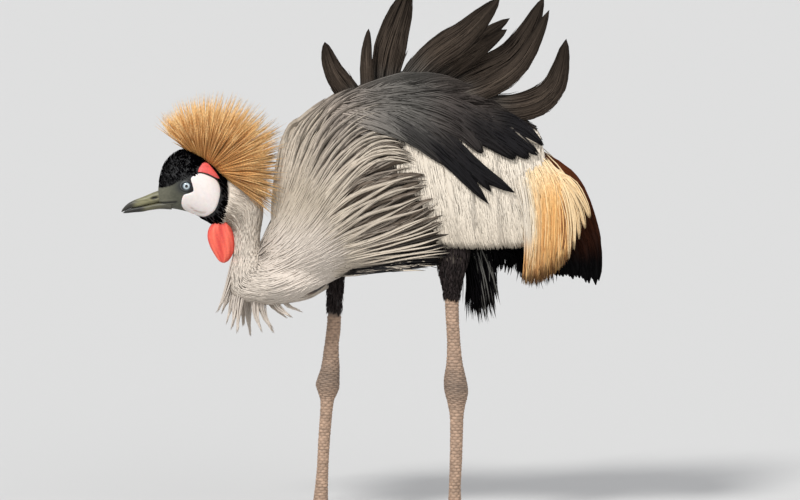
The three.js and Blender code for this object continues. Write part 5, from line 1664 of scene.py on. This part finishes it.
# The halves of the bill by X: top, bottom, half width.
bill_upper = track(
    [
        [-324, 425.9, 425.5, 0.3], [-322.5, 429.2, 425.8, 1.2],
        [-319, 433.4, 427.2, 2.4], [-315, 437, 429.2, 3.1],
        [-307, 441.4, 431.6, 4.4], [-293.6, 446.6, 434.4, 6],
        [-283.3, 451, 436.6, 7.2], [-272, 455.5, 439.4, 8.6],
        [-262, 460.5, 441.2, 10.5], [-256, 464, 442.4, 12],
    ]
)
bill_lower = track(
    [
        [-321.8, 424.2, 424.0, 0.3], [-319, 426.9, 423.9, 1.5],
        [-315, 429.0, 424.2, 2.3], [-307, 431.5, 425.0, 3.5],
        [-295, 434.0, 426.0, 4.7], [-286.4, 435.9, 427.8, 5.7],
        [-272, 439.3, 429.6, 7.3], [-256, 440.2, 429.0, 10.5],
    ]
)


def make_bill(name, rib, x0, crown, tip, dark, material):
    """One half of the bill, with a hollow at the nostril of the upper one."""
    rows, sides = 110, 64
    x = np.linspace(x0, -256, rows)[:, None]
    top, bottom, half = split(rib(x))
    c, s = np.cos(circle(sides)), np.sin(circle(sides))
    height = np.sign(c) * np.abs(c) ** crown
    flank = np.sign(s) * np.abs(s) ** 0.85
    rings = vec(x, half * flank, (top + bottom) / 2 + (top - bottom) / 2 * height)
    nostril = np.zeros((rows, sides))
    if name == "bill_upper":
        px, pz = rings[..., 0] + 279, rings[..., 2] - 445.2
        nostril = np.exp(-(np.hypot((px * 0.97 + pz * 0.22) / 5.2, (pz * 0.97 - px * 0.22) / 1.7) ** 4))
        groove = bell(pz + 1.7 - 0.16 * px, 1.2) * ease((-4 - px) / 6) * ease((px + 33) / 10)
        rings[..., 1] *= (1 - 0.42 * nostril) * (1 - 0.07 * groove)
    points, faces = loft_mesh(rings)
    x, _, z = points.T
    tint = mix(srgb(40, 37, 28), srgb(124, 120, 88), ease((x - tip) / 14))
    tint = dark * mix(tint, srgb(100, 97, 80), ease((x + 284) / 24))
    tint = shade(tint, 0.75 + 0.4 * mottle(x / 5 + 80, z / 2, 15))
    tint = mix(tint, srgb(26, 24, 24), np.append(nostril, [0, 0]))
    own(make_mesh(name + "_horn", points, faces, tint), material, "bill_horn", name)


# A lobe of the wattle down from the throat: middle x, z, half length, half width.
wattle_rib = track(
    [
        [-1, -192, 419, 6, 4], [0, -190, 411, 11, 5], [1, -190.5, 402, 16, 6.4], [2, -189.5, 391, 18, 7],
        [3, -187.5, 379, 16.5, 6.6], [4, -186, 368, 12, 5.2],
        [5, -186, 360, 6.4, 3], [5.6, -186, 357.4, 2, 1.2],
    ]
)


def make_wattle(material):
    """Two hanging lobes of folded skin under the throat."""
    bodies, tints = [], []
    turn = circle(96)
    for side in (-1, 1):
        k = np.linspace(-1, 5.6, 80)[:, None]
        x, z, long, thick = split(wattle_rib(k))
        fold = 1 + 0.13 * np.sin(5 * turn + k * 0.6 + side) + 0.07 * np.sin(13 * turn - k * 1.3)
        lobe = loft_mesh(vec(x + long * np.cos(turn), side * 6.2 + thick * fold * np.sin(turn), z))
        # Each lobe is painted lighter where its folds swell out and darker in the hollows between them:
        # painted light and shade.
        tint = mix(srgb(216, 66, 56), srgb(248, 112, 88), (np.append(fold, [1, 1]) - 0.8) / 0.35)
        tints.append(mix(tint, srgb(200, 44, 44), 0.5 * ease((lobe[0][:, 2] - 404) / 12)))
        bodies.append(lobe)
    own(make_mesh("wattle_skin", *joined(bodies), np.concatenate(tints)), material, "wattle_skin", "wattle")


# Legs

SCUTE_GRID = 5


def make_scutes(name, material):
    """Overlapping scales down the bare leg, smaller on the hock."""
    keys = np.linspace(3.5, len(LEGS[name]) - 2.2, 400)
    heights = leg_height(name, keys)
    rows, row = [], 0
    z = THIGH_END[name] - 4
    while z > 16:
        size, number = (4.2, 6) if abs(z - 195) > 28 else (3.0, 8)
        for j in range(number):
            phi = (j + 0.5 * (row % 2) + 0.3 * math.sin(row * 12.9)) / number * TURN
            rows.append([np.interp(-z, -heights, keys), phi, size, TURN / number])
        z -= size * (0.94 + 0.1 * math.sin(row * 7.3))
        row += 1
    k, phi, size, arc = np.array(rows).T[..., None]
    rng = random_of(107)
    count = len(k)
    dk = np.interp(k, keys, np.gradient(keys) / np.gradient(heights))
    across = np.linspace(-1, 1, SCUTE_GRID)
    u, v = (part.reshape(1, -1) for part in np.meshgrid(across, across))
    dome = (1 - 0.55 * np.abs(u) ** 3) * (1 - 0.45 * np.abs(v) ** 3)
    square = np.sqrt(1 - 0.32 * (u * v) ** 2)
    lift = -0.9 + 1.45 * dome - 0.25 * (v > 0.5) + 0.12 * rng.random(count)[:, None]
    down, round_leg = k + dk * size * 0.54 * v * square, phi + arc * 0.5 * u * square
    points = leg_at(name, down, round_leg, lift)[0].reshape(-1, 3)
    grid = loft_faces(SCUTE_GRID, SCUTE_GRID, closed=False)
    quads = repeated(grid, count, SCUTE_GRID**2)
    tone = vary(rng, count, 1.35, 1.75) * (0.62 + 0.42 * dome)
    tint = shade(leg_tint(*points.T), tone.ravel())
    a, b, _, d = (points[quads[:, corner]] for corner in range(4))
    normal = np.repeat(leg_at(name, k, phi)[1][:, 0], len(grid), axis=0)
    if np.einsum("ij,ij->", np.cross(b - a, d - a), normal) < 0:
        quads = quads[:, ::-1]
    uv = place_uv(np.hstack([k, phi]), (v + 1) / 2, (u + 1) / 2)
    scales = make_mesh(f"scutes_{name}", points, [quads], tint, uv=uv)
    own(scales, material, "leg_scale", f"shank_{name}", f"tarsus_{name}")


def make_claws(side, name, material):
    bodies = []
    q = np.linspace(-1.5, CLAW_LENGTH, 14)[:, None] / CLAW_LENGTH
    out = np.clip(q, 0, 1)
    for toe, angle, length in TOES:
        thick = 0.82 if toe == "hind" else 1
        wide = thick * 3.0 * np.clip(1 - q, 0.02, 1) ** 0.65
        high = thick * 3.2 * np.clip(1 - q, 0.02, 1) ** 0.6
        middle = thick * (3.6 + 0.9 * np.sin(math.pi * out)) * (1 - 0.62 * out**2)
        rings = toe_rings(side, angle, length + q * CLAW_LENGTH, wide, high, middle, 16, 0.3)
        bodies.append(loft_mesh(rings))
    claws = make_mesh(f"claws_{name}", *joined(bodies), srgb(52, 47, 43))
    own(claws, material, "claw_horn", *(f"claw_{toe}_{name}" for toe, _, _ in TOES))


# Stage, light and camera

FLOOR_SIZE = 60.0
CAMERA_ELEVATION = 6
CAMERA_DISTANCE = 8.0
FRAME_WIDTH = 1.08
SENSOR = 36.0
LOOK_AT = (0.052, 0.0, 0.374)
# The lamps: strength, how wide they shine, and their tilt in degrees.
LAMPS = {"key": (2.7, 12, (46, 0, -34)), "fill": (0.8, 60, (62, 0, 40))}


def make_stage():
    corners = np.array([[-1, -1, 0], [1, -1, 0], [1, 1, 0], [-1, 1, 0]]) * FLOOR_SIZE / 2 / MM
    floor = make_mesh("floor", corners, [np.array([[0, 1, 2, 3]])])
    floor.data.materials.append(new_material("floor", 0.9, Base_Color=(0.53, 0.525, 0.51, 1))[0])
    scene = bpy.context.scene
    scene.world = bpy.data.worlds.new("studio")
    scene.world.use_nodes = True
    sky = scene.world.node_tree.nodes["Background"].inputs
    sky["Color"].default_value = (0.93, 0.95, 1.0, 1)
    sky["Strength"].default_value = 0.7
    scene.view_settings.view_transform = "Standard"
    for name, (energy, angle, tilt) in LAMPS.items():
        light = bpy.data.lights.new(name, "SUN")
        light.energy = energy
        light.angle = math.radians(angle)
        lamp = bpy.data.objects.new(name, light)
        lamp.rotation_euler = [math.radians(a) for a in tilt]
        scene.collection.objects.link(lamp)


def make_camera():
    data = bpy.data.cameras.new("camera")
    data.sensor_width = SENSOR
    data.lens = SENSOR * CAMERA_DISTANCE / FRAME_WIDTH
    data.clip_end = 200
    camera = bpy.data.objects.new("camera", data)
    rise = math.radians(CAMERA_ELEVATION)
    back = Vector((0, -math.cos(rise), math.sin(rise)))
    camera.location = Vector(LOOK_AT) + back * CAMERA_DISTANCE
    camera.rotation_euler = (-back).to_track_quat("-Z", "Y").to_euler()
    bpy.context.scene.collection.objects.link(camera)
    bpy.context.scene.camera = camera


def build():
    make_stage()
    make_camera()
    feather = plumage_look("plumage", 0.6)
    gold = plumage_look("gold_silk", 0.5, 0.86)
    soft = plumage_look("soft_plumage", 0.7, 0.96, 0.15, 0.12)
    black = plumage_look("black_plumage", 0.7, 0.8, 0.04)
    velvet = plumage_look("velvet", 0.9, 0.6, 0.0)
    vane = vane_look("vanes", 0.55, 70.0, 0.8, 0.86)
    white_vane = vane_look("white_vanes", 0.7, 40.0, 0.96, 0.96)
    horn = tinted("horn", 0.5, 160.0, 0.72, 0.0008, 0.45, stretch=(0.35, 1.0, 1.6))
    bare = tinted("skin", 0.62, 300.0, 0.78, 0.0006, 0.5, cells=620.0)
    glow = {"Subsurface_Scale": 0.002}
    cheek = tinted("cheek", 0.55, 240.0, 0.93, 0.0006, 0.35, Subsurface_Weight=0.2, **glow)
    red = tinted("wattle", 0.42, 500.0, 0.8, 0.0007, 0.6, cells=900.0, Subsurface_Weight=0.25, **glow)
    eye = tinted("eye", 0.08, 900.0, 0.85, 0, 0, Coat_Weight=1.0, Coat_Roughness=0.03)
    flesh = [f"{part}_{name}" for name in SIDES for part in ("thigh", "shank", "tarsus", "wing")]
    toes = [f"toe_{toe}_{name}" for name in SIDES for toe, _, _ in TOES]
    skin = make_skin()
    own(skin, bare, "leg_scale", "head", "neck_upper", "neck_lower", "torso", "tail", *flesh, *toes)
    for name, side in SIDES.items():
        make_hackles(side, name, feather)
        make_breast(side, name, feather)
        make_back(side, name, feather)
        make_falls(side, name, feather)
        make_coverts(side, name, white_vane, soft)
        make_gold(side, name, gold)
        make_flight(side, name, vane, black)
        make_thighs(name, black)
        make_scutes(name, bare)
        make_claws(side, name, horn)
        make_eye(side, name, eye)
        make_lids(side, name, bare)
        make_plate(side, f"cheek_{name}", CHEEK, 1.9, 0.9, cheek_tint, cheek, "cheek_skin", f"cheek_{name}")
        make_plate(side, f"red_{name}", RED, 1.6, 0, red_tint, red, "red_skin", f"cheek_red_{name}")
    make_neck(soft)
    make_hanging(feather)
    make_rump(skin, feather)
    make_raised(vane, black)
    make_tail(vane, black)
    make_belly(black)
    make_velvet(velvet)
    make_band(velvet)
    make_crest(crest_look())
    make_bill("bill_upper", bill_upper, -324, 0.8, -312, 1.0, horn)
    make_bill("bill_lower", bill_lower, -321.8, 0.85, -300, 0.55, horn)
    make_wattle(red)


build()
